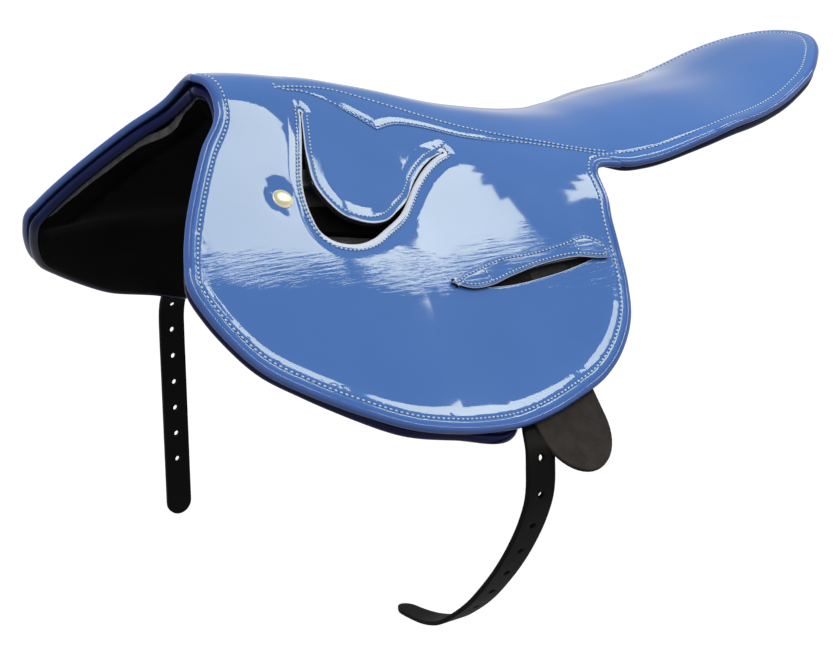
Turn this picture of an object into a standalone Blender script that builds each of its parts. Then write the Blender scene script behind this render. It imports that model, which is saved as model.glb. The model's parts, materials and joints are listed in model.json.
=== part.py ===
"""Racing saddle: half tree, patent leather covers, lifting flaps and skirts, girth straps.

Metres, +Z up, +X from the pommel to the tail, the horse's near side at -Y. The origin is under the
leather of the channel, on the centre plane, where a stand or the horse's back carries the saddle.

Every sheet of leather, felt or board is cut flat and then draped over one former. A flat pattern
gives each point as "back" (distance towards the tail) and "out" (distance from the centre plane),
and the depth of a layer is measured square to the outer leather, inwards negative.
"""

import math

import bmesh
import bpy
import numpy as np
from mathutils import Vector

MM = 0.001

# Thicknesses of the layers
FLAP_LEATHER = 4.5 * MM
SEAT_LEATHER = 1.8 * MM
KEEPER_LEATHER = 2.2 * MM
GUARD_LEATHER = 2.0 * MM
STRAP_LEATHER = 3.0 * MM
TREE_WALL = 5.0 * MM
WEB_THICKNESS = 1.2 * MM
PANEL_FELT = 7.0 * MM
LINING_LEATHER = 1.4 * MM
TAIL_BOARD = 3.0 * MM
TAIL_FELT = 6.6 * MM
BAR_STEEL = 3.0 * MM
PLATE_STEEL = 1.8 * MM

# Clearances
LAYER_GAP = 0.5 * MM
STRAP_ROOM = 1.2 * MM
JOINT_GAP = 0.6 * MM
FOAM_ROOM = 0.4 * MM

# Depths of the layers under the outer leather, each worked out from the one above
UNDER_COVER = -(FLAP_LEATHER + LAYER_GAP)
STRAP_TOP = UNDER_COVER - LAYER_GAP
WEB_TOP = STRAP_TOP - STRAP_LEATHER - LAYER_GAP
TREE_TOP = WEB_TOP - WEB_THICKNESS - LAYER_GAP
TREE_BOTTOM = TREE_TOP - TREE_WALL
STEEL_BOTTOM = TREE_TOP + LAYER_GAP
SIDE_PANEL_TOP = STRAP_TOP - STRAP_LEATHER - STRAP_ROOM
TREE_PANEL_TOP = TREE_BOTTOM - LAYER_GAP
SEAT_BOTTOM = LAYER_GAP

# Height of the arch, the ridge's top in front, over the origin. All other heights are below the arch
ARCH_HEIGHT = 0.039

# The ridge of the outer leather, seen from the side: back and height
RIDGE = (
    (-0.180, -0.003),
    (-0.100, 0.0),
    (-0.050, -0.003),
    (0.016, -0.017),
    (0.098, -0.038),
    (0.190, -0.049),
    (0.265, -0.044),
    (0.340, -0.038),
    (0.409, -0.018),
    (0.456, -0.011),
)

# The slopes of the saddle across its ridge: the flanks in front, the seat, and the tail
FLANK_SLOPE = 1.0
SEAT_SLOPE = 0.42
TAIL_SLOPE = 0.32
RIDGE_ROUND = 0.017
SEAT_ROUND = 0.035
TAIL_ROUND = 0.045
SEAT_START, SEAT_FULL = -0.010, 0.200
TAIL_START, TAIL_FULL = 0.180, 0.300
SEAT_EDGE_FRONT, SEAT_EDGE_REAR = 0.062, 0.078
SEAT_EDGE_BLEND = 0.026
FLARE_START = 0.120
FLARE = 1.2

# The lines along which a draped sheet bends
BACK_FIRST, BACK_LAST, BACK_STEP = -0.182, 0.494, 0.027
OUT_LINES = (0.0, 0.011, 0.024, 0.038, 0.054, 0.074, 0.096, 0.120, 0.150, 0.182, 0.212, 0.242)

# Outlines of the side, as (back, out) in millimetres, from the ridge down and round to the tail
FRONT_EDGE = (
    (-100, 0), (-97.5, 17), (-101, 31), (-121, 50), (-138, 68), (-153, 86), (-162, 100), (-167, 112),
)
LOWER_EDGE = (
    (-165, 125), (-159, 140), (-149, 156), (-128, 172), (-100, 187), (-70, 198), (-38, 202.5),
    (-5, 200.5), (30, 195.5), (60, 189), (84, 183), (106, 173), (123, 160), (136, 142), (146, 121),
    (152, 107),
)
REAR_EDGE = ((158, 97), (162, 86))
COVER_SEAT_EDGE = (
    (166, 66), (150, 51), (131, 45), (98, 36), (49, 26), (16, 22), (-6, 13), (-12, 0),
)
PANEL_REAR = (
    (-3, 198.5), (7, 190), (16, 173), (29, 157), (50, 147), (90, 142), (122, 137), (142, 122), (151, 100),
    (153, 84),
)
PANEL_REAR_END = 155
PANEL_LOWER_POINTS = 7
BINDING_REAR_POINTS = 5
CHANNEL_HALF_WIDTH = 10

# The seat and tail cover, with its pointed lip over the skirt
SEAT_FRONT = ((-58, 0), (-56, 13), (-50, 21), (-34, 23.5), (-8, 31))
SEAT_POINT = (10, 40)
SEAT_SIDE = (
    (27, 35.5), (49, 36.5), (76, 42.5), (98, 47), (131, 55), (150, 61.5), (168, 69), (180, 75),
    (190, 79.5), (208, 82),
)
TAIL_SIDE = (
    (243, 85.5), (268, 87), (298, 84.5), (333, 78.5), (364, 72), (386, 65), (405, 52.5), (423, 35.5),
    (434, 18), (438, 0),
)
TAIL_BOARD_FRONT = 171

# The slit for the stirrup leather, and the skirt that lies in it
SLIT_ROOT = ((-43, 33.0), (56, 51.6))
SLIT_EDGE = (
    (-51.5, 48.3), (-60, 61.5), (-68.4, 76), (-71.3, 88), (-70.5, 98), (-65.3, 102.6), (-56.4, 105),
    (-47, 105), (-36.5, 102.5), (-23.7, 96.8), (-6.2, 87.9), (19.5, 69), (32.8, 60.8), (45, 55),
)
SKIRT_ROOT = ((-42.6, 33.9), (46.5, 50.5))
SKIRT_EDGE = (
    (-46, 40), (-56, 60.5), (-60, 75), (-57, 84), (-52, 90.5), (-43, 94.2), (-33.5, 95.3), (-22, 93.3),
    (-8, 86.2), (0, 81), (19, 66.6), (32, 58.6), (41.5, 54.6),
)

# The rear keeper and the slot under it
KEEPER_SLOT_ENDS = ((32, 127.8), (127, 127.6))
KEEPER_SLOT_TOP = ((52, 124.3), (78, 121.6), (106, 122.8))
KEEPER_SLOT_BOTTOM = ((104, 129.6), (78, 130), (52, 129.6))
KEEPER_LOWER = (
    (4, 125), (18, 128.4), (30, 128.2), (52, 124.8), (78, 122.1), (106, 123.3), (125, 127.4), (131, 128),
)
KEEPER_UPPER = ((133, 122), (127, 116), (100, 114), (74, 114.4), (47, 114.6), (29, 117.8), (14, 121.2))

# The fold where a flap lifts: two places of its straight line, as back, out and height
FOLD_FRONT = (-0.100, 0.1141, -0.0969)
FOLD_REAR = (0.160, 0.1087, -0.1023)

# The tree's reach, where the felt panel dips under it, and where the panel slopes up to its edge
TREE_OUT = 93
DIP_BACK = (1, 12)
DIP_OUT = (TREE_OUT + 3, TREE_OUT + 25)
EDGE_SLOPE_BACK = (30, 100)

# The half tree, its windows for the stirrup leathers and its steel
TREE_FRONT = ((-71, 0), (-71, 34), (-73, 52), (-85, 60), (-95, 75), (-89, TREE_OUT - 4))
TREE_OUTER = (
    (-60, TREE_OUT), (0, TREE_OUT), (60, TREE_OUT - 3), (106, TREE_OUT - 9), (134, TREE_OUT - 17), (144, 64),
)
TREE_INNER = ((138, 48), (100, 36), (40, 28), (-10, 22), (-32, 13), (-38, 0))
WINDOW_BACK = (-74, -36)
WINDOW_OUT = (54, 80)
BAR_OUT = 66.0
BAR_WIDTH = 9.0
BAR_FOOT = (13.0, 22.0)
BAR_TAPER = 5.0
WEB_BACK = (-22, 24)
WEB_TUCK = 0.5
WEB_OUT = TREE_OUT - WEB_TUCK
PLATE_BACK = (-69, -47)
PLATE_SWEEP = 1
PLATE_OUT = 52
PLATE_RIVETS = ((-59, 30.5), (-59, 46))
PAD_BACK = (-86, -24)
PAD_OUT = PLATE_OUT + 2
PAD_THICKNESS = 2.4 * MM
PAD_HOLE = 5.0 * MM
RIVET_SHANK = 1.8 * MM
RIVET_HEAD = 3.8 * MM
RIVET_HEAD_HEIGHT = 1.4 * MM
RIVET_HOLE_ROOM = 0.4 * MM
RIVET_SEAT = 0.4 * MM
STUD_SEAT = 0.3 * MM
DOME_STEPS = 4

# The seat's foam
FOAM_FRONT = -8
FOAM_REAR = 158
FOAM_TUCK = 8
FOAM_INSET = 3 * MM

# Bindings round the panel and the tail
PANEL_BINDING_RADIUS = 3.6 * MM
TAIL_BINDING_RADIUS = 3.4 * MM
BOARD_INSET = 2.5 * MM
LINING_INSET = 1.0 * MM
MIN_EDGE = 4

# The straps, the guards and the stud
STRAP_WIDTH = 22 * MM
NEAR_STRAP_BACK = 9 * MM
OFF_STRAP_BACK = -12 * MM
STRAP_UNDER_FLAP = (TREE_OUT - 7, TREE_OUT + 5, 111, 124, 137, 150, 163, 176, 188, 199)
STRAP_HOLE_RADIUS = 2.0 * MM
NEAR_HOLE_PITCH = 23.2 * MM
OFF_HOLE_PITCH = 21.4 * MM
STRAP_HOLES = 6
STRAP_BEND_STEP = 11 * MM
NEAR_STRAP_DROP = (
    (209, -207), (210.8, -218), (210.3, -232), (204.5, -250), (195.5, -267), (184, -286), (171, -304),
    (157, -320), (143, -333), (124, -347), (104, -355), (84, -360), (66, -362),
)
OFF_STRAP_DROP = (
    (209, -207), (211.6, -218), (212, -230), (212, -262), (212, -294), (212, -326), (212, -356),
    (212, -384),
)
NEAR_PIVOT_HEIGHT = -0.232
OFF_PIVOT_HEIGHT = -0.230
GUARD_BACK = (21, 74)
GUARD_TOP_OUT = TREE_OUT + 3
GUARD_END_OUT = 224
STUD_PLACE = (-85.5, 79.5)
STUD_RADIUS = 6.5 * MM
STUD_HEIGHT = 3.2 * MM

OUTLINE_STEP = 15 * MM
SMALL_STEP = 8 * MM
ROUND_SIDES = 10
STUD_SIDES = 20
ROLL_STEPS = 2
STRAP_END_STEPS = 9
GUARD_END_STEPS = 11

SNAP = 0.02 * MM
WELD = 0.001 * MM
FLAT_ANGLE = 0.001

NEAR, OFF = -1, 1
SIDE_NAMES = {NEAR: "near", OFF: "off"}


def smooth_step(value, start, end):
    """0 before start, 1 after end, with an even curve between."""
    share = min(max((value - start) / (end - start), 0.0), 1.0)
    return share * share * (3.0 - 2.0 * share)


def curve_through(points, closed=False, corners=(), step=OUTLINE_STEP):
    """Points along a smooth curve through the given ones, broken at the corners' numbers."""
    points = [np.array(point, float) for point in points]
    count = len(points)
    spans = count if closed else count - 1

    def chord(index):
        return points[(index + 1) % count] - points[index % count]

    def tangent(index, leaving):
        before, after = chord(index - 1), chord(index)
        if not closed and index == 0:
            return after / max(np.linalg.norm(after), 1e-9)
        if not closed and index == count - 1:
            return before / max(np.linalg.norm(before), 1e-9)
        if index in corners:
            side = after if leaving else before
            return side / np.linalg.norm(side)
        short, long = np.linalg.norm(before), np.linalg.norm(after)
        blend = (before / short) * long + (after / long) * short
        return blend / (short + long)

    result = []
    for index in range(spans):
        start, end = points[index], points[(index + 1) % count]
        length = np.linalg.norm(end - start)
        leave = tangent(index, True) * length
        arrive = tangent((index + 1) % count, False) * length
        pieces = max(1, round(length / step))
        for piece in range(pieces):
            t = piece / pieces
            result.append(
                (2 * t**3 - 3 * t**2 + 1) * start
                + (t**3 - 2 * t**2 + t) * leave
                + (3 * t**2 - 2 * t**3) * end
                + (t**3 - t**2) * arrive
            )
    if not closed:
        result.append(points[-1])
    return result


def plan(points_mm, side=NEAR):
    """(back, out) in millimetres to flat points in metres, on one side of the centre plane."""
    return [(back * MM, side * out * MM) for back, out in points_mm]


def both_sides(points_mm):
    """A line from the centre plane to the centre plane, carried round the other side too."""
    near = plan(points_mm, NEAR)
    off = plan(points_mm, OFF)
    return near + [point for point in reversed(off) if abs(point[1]) > 1e-9]


def inset(points, distance, closed=True):
    """A line of flat points moved sideways, towards the left of its own direction."""
    result = []
    count = len(points)
    for index in range(count):
        first = index - 1 if closed or index else index
        last = (index + 1) % count if closed or index < count - 1 else index
        along = np.array(points[last]) - np.array(points[first])
        along /= np.linalg.norm(along)
        result.append(np.array(points[index]) + distance * np.array((-along[1], along[0])))
    return result


def ring(centre, radius, sides=ROUND_SIDES):
    """A round hole in a flat pattern."""
    turn = 2 * math.pi / sides
    return [
        (centre[0] + radius * math.cos(turn * k), centre[1] + radius * math.sin(turn * k))
        for k in range(sides)
    ]


def ridge_height(back):
    """Height of the ridge, as a smooth curve through its stations."""
    backs = [station[0] for station in RIDGE]
    heights = [ARCH_HEIGHT + station[1] for station in RIDGE]
    slopes = np.gradient(heights, backs)
    last = len(RIDGE) - 2
    index = min(max(int(np.searchsorted(backs, back, "right")) - 1, 0), last)
    length = backs[index + 1] - backs[index]
    t = (back - backs[index]) / length
    if not 0 <= t <= 1:
        end = index if t < 0 else index + 1
        return heights[end] + slopes[end] * (back - backs[end])
    return (
        (2 * t**3 - 3 * t**2 + 1) * heights[index]
        + (t**3 - 2 * t**2 + t) * slopes[index] * length
        + (3 * t**2 - 2 * t**3) * heights[index + 1]
        + (t**3 - t**2) * slopes[index + 1] * length
    )


def leather_height(back, side):
    """Height of the outer leather over a point of the plan."""
    out = abs(side)
    seat = smooth_step(back, SEAT_START, SEAT_FULL)
    tail = smooth_step(back, TAIL_START, TAIL_FULL)
    slope = FLANK_SLOPE + seat * (SEAT_SLOPE - FLANK_SLOPE) + tail * (TAIL_SLOPE - SEAT_SLOPE)
    rounding = RIDGE_ROUND + seat * (SEAT_ROUND - RIDGE_ROUND) + tail * (TAIL_ROUND - SEAT_ROUND)
    drop = slope * ((out**3 + rounding**3) ** (1 / 3) - rounding)
    edge = SEAT_EDGE_FRONT + seat * (SEAT_EDGE_REAR - SEAT_EDGE_FRONT)
    over = out - edge
    bend = (over + math.hypot(over, SEAT_EDGE_BLEND)) / 2
    flat_bend = (math.hypot(edge, SEAT_EDGE_BLEND) - edge) / 2
    drop += (FLANK_SLOPE - slope) * (bend - flat_bend) * (1 - tail)
    drop -= FLARE * max(0.0, out - FLARE_START) ** 2
    return ridge_height(back) - drop


class Former:
    """The shape over which flat patterns are draped: flat triangles between its nodes.

    A place of the flat pattern is also a place of the grid, whose lines have whole numbers. Each cell
    has one diagonal, mirrored on the two sides, and every sheet is cut along all of these lines, so
    sheets at different depths never cross.
    """

    def __init__(self):
        self.backs = np.arange(BACK_FIRST, BACK_LAST, BACK_STEP)
        self.sides = np.array([-line for line in reversed(OUT_LINES[1:])] + list(OUT_LINES))
        self.middle = len(OUT_LINES) - 1
        self.points = np.zeros((len(self.backs), len(self.sides), 3))
        self.normals = np.zeros_like(self.points)
        reach = 1 * MM
        for i, back in enumerate(self.backs):
            for j, side in enumerate(self.sides):
                rise = leather_height(back + reach, side) - leather_height(back - reach, side)
                fall = leather_height(back, side + reach) - leather_height(back, side - reach)
                normal = np.array((-rise, -fall, 2 * reach))
                self.points[i, j] = (back, side, leather_height(back, side))
                self.normals[i, j] = normal / np.linalg.norm(normal)

    def depths(self, rule):
        """A layer's depth at every node, from a rule for the flat place."""
        return np.array([[rule(back, abs(side)) for side in self.sides] for back in self.backs])

    def nodes(self, depth):
        """The nodes moved to a depth, which is a number or one depth for each node."""
        return self.points + np.reshape(depth, np.shape(depth) + (1,)) * self.normals

    def grid(self, back, side):
        """A flat place as a place of the grid."""
        u = (back - self.backs[0]) / BACK_STEP
        v = float(np.interp(side, self.sides, range(len(self.sides))))
        return u, v

    def on_grid(self, u, v, nodes):
        """The point of a layer at a place of the grid."""
        i = min(max(int(u), 0), len(self.backs) - 2)
        j = min(max(int(v), 0), len(self.sides) - 2)
        u, v = u - i, v - j
        low, high = nodes[i, j], nodes[i + 1, j + 1]
        front, rear = nodes[i, j + 1], nodes[i + 1, j]
        if j < self.middle:
            corner, weight = (rear, u - v) if u > v else (front, v - u)
            return Vector(low * (1 - max(u, v)) + high * min(u, v) + corner * weight)
        if u + v < 1:
            return Vector(low * (1 - u - v) + rear * u + front * v)
        return Vector(high * (u + v - 1) + rear * (1 - v) + front * (1 - u))

    def place(self, back, side, depth):
        """The point of the saddle at a place of the flat pattern and a depth."""
        return self.on_grid(*self.grid(back, side), self.nodes(depth))

    def normal(self, back, side):
        """The outward direction through the layers at a place of the flat pattern."""
        return (self.place(back, side, 0.0) - self.place(back, side, TREE_BOTTOM)).normalized()

    def fit(self, sheet, bottom, top, thickness):
        """Cuts a flat sheet along the former's lines and moves it into place."""
        crease(sheet, Vector((1, 0, 0)), self.backs)
        crease(sheet, Vector((0, 1, 0)), self.sides)
        for vertex in sheet.verts:
            vertex.co.x, vertex.co.y = self.grid(vertex.co.x, vertex.co.y)
        total = len(self.backs) + len(self.sides)
        diagonals = np.arange(-total, total) * math.sqrt(0.5)
        crease(sheet, Vector((1, -1, 0)).normalized(), diagonals, self.is_near)
        crease(sheet, Vector((1, 1, 0)).normalized(), diagonals, lambda face: not self.is_near(face))
        join_flat_faces(sheet)
        inner, outer = self.nodes(bottom), self.nodes(top)
        for vertex in sheet.verts:
            u, v, height = vertex.co
            vertex.co = self.on_grid(u, v, outer if height > 0 else inner)

    def is_near(self, face):
        """Whether a face, in places of the grid, lies on the near side."""
        return face.calc_center_median().y < self.middle


class StrapFormer:
    """A strap's route between two rails: a pattern's length runs along it, its width across."""

    def __init__(self, fronts, rears):
        self.fronts, self.rears = fronts, rears
        self.lengths = [0.0]
        middles = [(first + second) / 2 for first, second in zip(fronts, rears)]
        for first, second in zip(middles, middles[1:]):
            self.lengths.append(self.lengths[-1] + (second - first).length)
        self.normals = []
        outward = 1.0 if middles[0].y > 0 else -1.0
        for index in range(len(middles)):
            along = middles[min(index + 1, len(middles) - 1)] - middles[max(index - 1, 0)]
            normal = along.cross(rears[index] - fronts[index]).normalized()
            self.normals.append(-normal * outward)

    def place(self, length, across, depth):
        """The point of the strap at a length along it, a place across it and a depth."""
        i = min(max(int(np.searchsorted(self.lengths, length, "right")) - 1, 0), len(self.lengths) - 2)
        t = (length - self.lengths[i]) / (self.lengths[i + 1] - self.lengths[i])
        share = across / STRAP_WIDTH + 0.5
        ends = [self.fronts[k].lerp(self.rears[k], share) + self.normals[k] * depth for k in (i, i + 1)]
        return ends[0].lerp(ends[1], t)

    def length_at(self, height):
        """The length at which the route passes a height on its way down."""
        heights = [-(first.z + second.z) / 2 for first, second in zip(self.fronts, self.rears)]
        return float(np.interp(-height, heights, self.lengths))

    def fit(self, sheet, bottom, top, thickness):
        """Cuts a flat sheet where the route bends and moves it into place."""
        crease(sheet, Vector((1, 0, 0)), self.lengths[1:-1])
        join_flat_faces(sheet)
        for vertex in sheet.verts:
            length, across, height = vertex.co
            vertex.co = self.place(length, across, bottom + (top - bottom) * (height / thickness + 0.5))


def crease(sheet, normal, lines, wanted=None):
    """Cuts a sheet's faces along straight lines, so that it can bend there."""
    for line in lines:
        faces = [face for face in sheet.faces if wanted is None or wanted(face)]
        geometry = set(faces)
        for face in faces:
            geometry.update(face.edges)
            geometry.update(face.verts)
        places = [item.co.dot(normal) - line for item in geometry if isinstance(item, bmesh.types.BMVert)]
        if places and min(places) < 0 < max(places):
            cut = bmesh.ops.bisect_plane(
                sheet, geom=list(geometry), dist=SNAP, plane_co=normal * line, plane_no=normal
            )
            for item in cut["geom_cut"]:
                if isinstance(item, bmesh.types.BMEdge):
                    item.seam = True


def join_flat_faces(sheet):
    """Joins the faces of a flat sheet again, except across the lines along which it bends."""
    bmesh.ops.dissolve_limit(
        sheet, angle_limit=FLAT_ANGLE, verts=sheet.verts, edges=sheet.edges, delimit={"SEAM"}
    )


def clear_scene():
    """Removes the startup objects and makes the collections."""
    for obj in list(bpy.data.objects):
        bpy.data.objects.remove(obj, do_unlink=True)
    parts = bpy.data.collections.new("racing_saddle")
    bpy.context.scene.collection.children.link(parts)
    return parts


def material(name, colour, roughness, metallic=0.0):
    """A plain finish with its colour, roughness and metallic value."""
    finish = bpy.data.materials.new(name)
    finish.use_nodes = True
    shader = finish.node_tree.nodes["Principled BSDF"]
    shader.inputs["Base Color"].default_value = (*colour, 1.0)
    shader.inputs["Roughness"].default_value = roughness
    shader.inputs["Metallic"].default_value = metallic
    finish.diffuse_color = (*colour, 1.0)
    return finish


class Workshop:
    """Cuts flat patterns, drapes them and adds the hardware, all in one collection."""

    def __init__(self, collection):
        self.collection = collection
        self.former = Former()
        self.patent = material("blue_patent", (0.080, 0.195, 0.515), 0.08)
        self.binding = material("dark_blue_patent", (0.020, 0.028, 0.180), 0.12)
        self.black = material("black_leather", (0.004, 0.004, 0.004), 0.45)
        self.strap = material("strap_leather", (0.008, 0.007, 0.007), 0.40)
        self.suede = material("brown_suede", (0.032, 0.026, 0.024), 0.85)
        self.brass = material("polished_brass", (0.80, 0.62, 0.30), 0.15, 1.0)
        self.steel = material("forged_steel", (0.45, 0.45, 0.46), 0.35, 1.0)
        self.laminate = material("tree_laminate", (0.030, 0.026, 0.024), 0.55)
        self.felt = material("grey_felt", (0.10, 0.10, 0.10), 0.95)
        self.foam = material("seat_foam", (0.55, 0.48, 0.30), 0.90)
        self.web = material("linen_web", (0.50, 0.43, 0.30), 0.90)

    def add(self, name, mesh, finish):
        """Puts a finished mesh in the collection under its name."""
        mesh.materials.clear()
        mesh.materials.append(finish)
        obj = bpy.data.objects.new(name, mesh)
        self.collection.objects.link(obj)
        return obj

    def blank(self, loops, thickness):
        """A flat sheet with its outline and holes, as a mesh centred on its own plane."""
        curve = bpy.data.curves.new("blank", "CURVE")
        curve.dimensions = "2D"
        curve.fill_mode = "BOTH"
        curve.extrude = thickness / 2
        for loop in loops:
            spline = curve.splines.new("POLY")
            spline.points.add(len(loop) - 1)
            for point, (first, second) in zip(spline.points, loop):
                point.co = (first, second, 0.0, 1.0)
            spline.use_cyclic_u = True
        return self.from_curve(curve)

    def from_curve(self, curve):
        """The welded mesh of a curve."""
        holder = bpy.data.objects.new("holder", curve)
        self.collection.objects.link(holder)
        graph = bpy.context.evaluated_depsgraph_get()
        mesh = bpy.data.meshes.new_from_object(holder.evaluated_get(graph))
        bpy.data.objects.remove(holder)
        bpy.data.curves.remove(curve)
        sheet = bmesh.new()
        sheet.from_mesh(mesh)
        bpy.data.meshes.remove(mesh)
        bmesh.ops.remove_doubles(sheet, verts=sheet.verts, dist=WELD)
        return sheet

    def drape(self, name, loops, bottom, top, finish, former=None, trims=()):
        """A sheet between two depths, each a number or one depth for each node of the former."""
        thickness = 1 * MM
        sheet = self.blank(loops, thickness)
        (former or self.former).fit(sheet, bottom, top, thickness)
        for point, normal in trims:
            self.trim(sheet, point, normal)
        return self.add(name, self.finished(name, sheet), finish)

    def finished(self, name, sheet):
        """The mesh of a closed sheet, with its faces outwards."""
        bmesh.ops.recalc_face_normals(sheet, faces=sheet.faces)
        if sheet.calc_volume(signed=True) < 0:
            bmesh.ops.reverse_faces(sheet, faces=sheet.faces)
        mesh = bpy.data.meshes.new(name)
        sheet.to_mesh(mesh)
        sheet.free()
        return mesh

    def trim(self, sheet, point, normal):
        """Cuts away what lies beyond a plane, and closes the cut."""
        geometry = sheet.verts[:] + sheet.edges[:] + sheet.faces[:]
        cut = bmesh.ops.bisect_plane(
            sheet, geom=geometry, dist=WELD, plane_co=point, plane_no=normal, clear_outer=True
        )
        rim = [item for item in cut["geom_cut"] if isinstance(item, bmesh.types.BMEdge)]
        bmesh.ops.holes_fill(sheet, edges=rim, sides=0)

    def tube(self, name, points, radius, finish):
        """A rolled binding along a line."""
        curve = bpy.data.curves.new(name, "CURVE")
        curve.dimensions = "3D"
        curve.bevel_depth = radius
        curve.bevel_resolution = ROLL_STEPS
        curve.use_fill_caps = True
        spline = curve.splines.new("POLY")
        spline.points.add(len(points) - 1)
        for point, place in zip(spline.points, points):
            point.co = (*place, 1.0)
        return self.add(name, self.finished(name, self.from_curve(curve)), finish)

    def turned(self, name, profile, place, direction, finish, sides=ROUND_SIDES):
        """A turned piece: its profile runs from the top of its axis down its outer side."""
        mesh = bpy.data.meshes.new(name)
        vertices = [(radius, 0.0, height) for radius, height in profile]
        mesh.from_pydata(vertices, [(k, k + 1) for k in range(len(vertices) - 1)], [])
        obj = self.add(name, mesh, finish)
        screw = obj.modifiers.new("turn", "SCREW")
        screw.steps = screw.render_steps = sides
        screw.use_merge_vertices = True
        screw.merge_threshold = 0.01 * MM
        obj.location = place
        obj.rotation_mode = "QUATERNION"
        obj.rotation_quaternion = direction.to_track_quat("Z", "Y")
        return obj


def cover_outline(step=OUTLINE_STEP):
    """The whole top leather of both sides, with the seat cut out, open at the rear."""
    edge = FRONT_EDGE + LOWER_EDGE + REAR_EDGE + COVER_SEAT_EDGE
    rear_corner = len(FRONT_EDGE) + len(LOWER_EDGE) + len(REAR_EDGE)
    near = plan(edge, NEAR)
    off = plan(edge, OFF)[1:-1]
    points = near + off[::-1]
    corners = (rear_corner, len(points) - rear_corner)
    return curve_through(points, closed=True, corners=corners, step=step)


def fold_plane(side, share):
    """The plane across a flap's fold, moved down the flap by a share, and its direction down the flap."""
    ends = [
        Vector((back, side * out, ARCH_HEIGHT + height)) for back, out, height in (FOLD_FRONT, FOLD_REAR)
    ]
    along = (ends[1] - ends[0]).normalized()
    down = Vector((0, side, -1))
    down = (down - along * down.dot(along)).normalized()
    return ends[0] + down * share, down


def slit_outline(side):
    """The stirrup leather's slit, with the skirt's root as its straight edge."""
    points = plan((SLIT_ROOT[0],) + SLIT_EDGE + (SLIT_ROOT[1],), side)
    return curve_through(points, closed=True, corners=(0, len(points) - 1), step=SMALL_STEP)


def edge_top(back, out):
    """Depth of the panel's top beside its binding: close to the cover in front, then under the straps."""
    fronts = [point[0] * MM for point in FRONT_EDGE]
    outs = [point[1] * MM for point in FRONT_EDGE]
    behind_edge = back - float(np.interp(out, outs, fronts))
    first, last = EDGE_SLOPE_BACK
    return UNDER_COVER + smooth_step(behind_edge, first * MM, last * MM) * (SIDE_PANEL_TOP - UNDER_COVER)


def panel_top(back, out):
    """Depth of the top of the felt panel, which dips under the tree."""
    fronts = [point[0] * MM for point in FRONT_EDGE]
    outs = [point[1] * MM for point in FRONT_EDGE]
    behind_edge = back - float(np.interp(out, outs, fronts))
    behind = smooth_step(behind_edge, DIP_BACK[0] * MM, DIP_BACK[1] * MM)
    dip = behind * (1 - smooth_step(out, DIP_OUT[0] * MM, DIP_OUT[1] * MM))
    top = edge_top(back, out)
    return top + dip * (TREE_PANEL_TOP - top)


def tail_outline(front, distance):
    """The tail behind a line across it, moved in from the seat cover's edge."""
    backs = [point[0] for point in SEAT_SIDE]
    outs = [point[1] for point in SEAT_SIDE]
    behind = tuple(point for point in SEAT_SIDE + TAIL_SIDE if point[0] > front + MIN_EDGE)
    start = (front, float(np.interp(front, backs, outs)))
    edge = curve_through(both_sides((start,) + behind))
    return inset(edge, distance, closed=False)


def dome(radius, height, base):
    """The profile of a shallow dome, from its top to its rim."""
    return [
        (radius * math.sin(turn), base + height * math.cos(turn))
        for turn in np.linspace(0, math.pi / 2, DOME_STEPS)
    ]


def make_covers(shop):
    """The top leather: pommel and skirts, flaps, seat and tail, keepers and studs."""
    folds = [fold_plane(side, -JOINT_GAP / 2) for side in SIDE_NAMES]
    loops = [cover_outline()] + [slit_outline(side) for side in SIDE_NAMES]
    shop.drape("pommel_cover", loops, -FLAP_LEATHER, 0.0, shop.patent, trims=folds)

    seat = both_sides(SEAT_FRONT + (SEAT_POINT,) + SEAT_SIDE + TAIL_SIDE)
    point = len(SEAT_FRONT)
    seat_loop = curve_through(seat, closed=True, corners=(point, len(seat) - point))
    shop.drape("seat_cover", [seat_loop], SEAT_BOTTOM, SEAT_BOTTOM + SEAT_LEATHER, shop.patent)

    for side, word in SIDE_NAMES.items():
        make_flap(shop, side, word)
        skirt_points = plan((SKIRT_ROOT[0],) + SKIRT_EDGE + (SKIRT_ROOT[1],), side)
        ends = (0, len(skirt_points) - 1)
        skirt = curve_through(skirt_points, closed=True, corners=ends, step=SMALL_STEP)
        shop.drape(f"{word}_skirt", [skirt], -FLAP_LEATHER, 0.0, shop.patent)

        back, out = STUD_PLACE[0] * MM, side * STUD_PLACE[1] * MM
        place = shop.former.place(back, out, STUD_SEAT)
        profile = dome(STUD_RADIUS, STUD_HEIGHT, 0.0) + [(0.0, 0.0)]
        shop.turned(f"{word}_stud", profile, place, shop.former.normal(back, out), shop.brass, STUD_SIDES)


def make_flap(shop, side, word):
    """A side flap below its fold, with the slot of its keeper, and the keeper."""
    edge = FRONT_EDGE[-3:] + LOWER_EDGE + REAR_EDGE[:1]
    points = plan(edge, side)
    flap = curve_through(points, closed=True, corners=(0, len(points) - 1))
    slot_points = KEEPER_SLOT_ENDS[:1] + KEEPER_SLOT_TOP + KEEPER_SLOT_ENDS[1:] + KEEPER_SLOT_BOTTOM
    slot_ends = (0, len(KEEPER_SLOT_TOP) + 1)
    slot = curve_through(plan(slot_points, side), closed=True, corners=slot_ends)
    centre, down = fold_plane(side, JOINT_GAP / 2)
    shop.drape(f"{word}_flap", [flap, slot], -FLAP_LEATHER, 0.0, shop.patent, trims=[(centre, -down)])

    keeper = curve_through(plan(KEEPER_LOWER + KEEPER_UPPER, side), closed=True, corners=(0,))
    shop.drape(f"{word}_keeper", [keeper], LAYER_GAP, LAYER_GAP + KEEPER_LEATHER, shop.patent)


def steel_holes(side, places):
    """Rivet holes in one side's layers, at the given places in millimetres."""
    return [ring(place, RIVET_SHANK + RIVET_HOLE_ROOM) for place in plan(places, side)]


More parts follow.
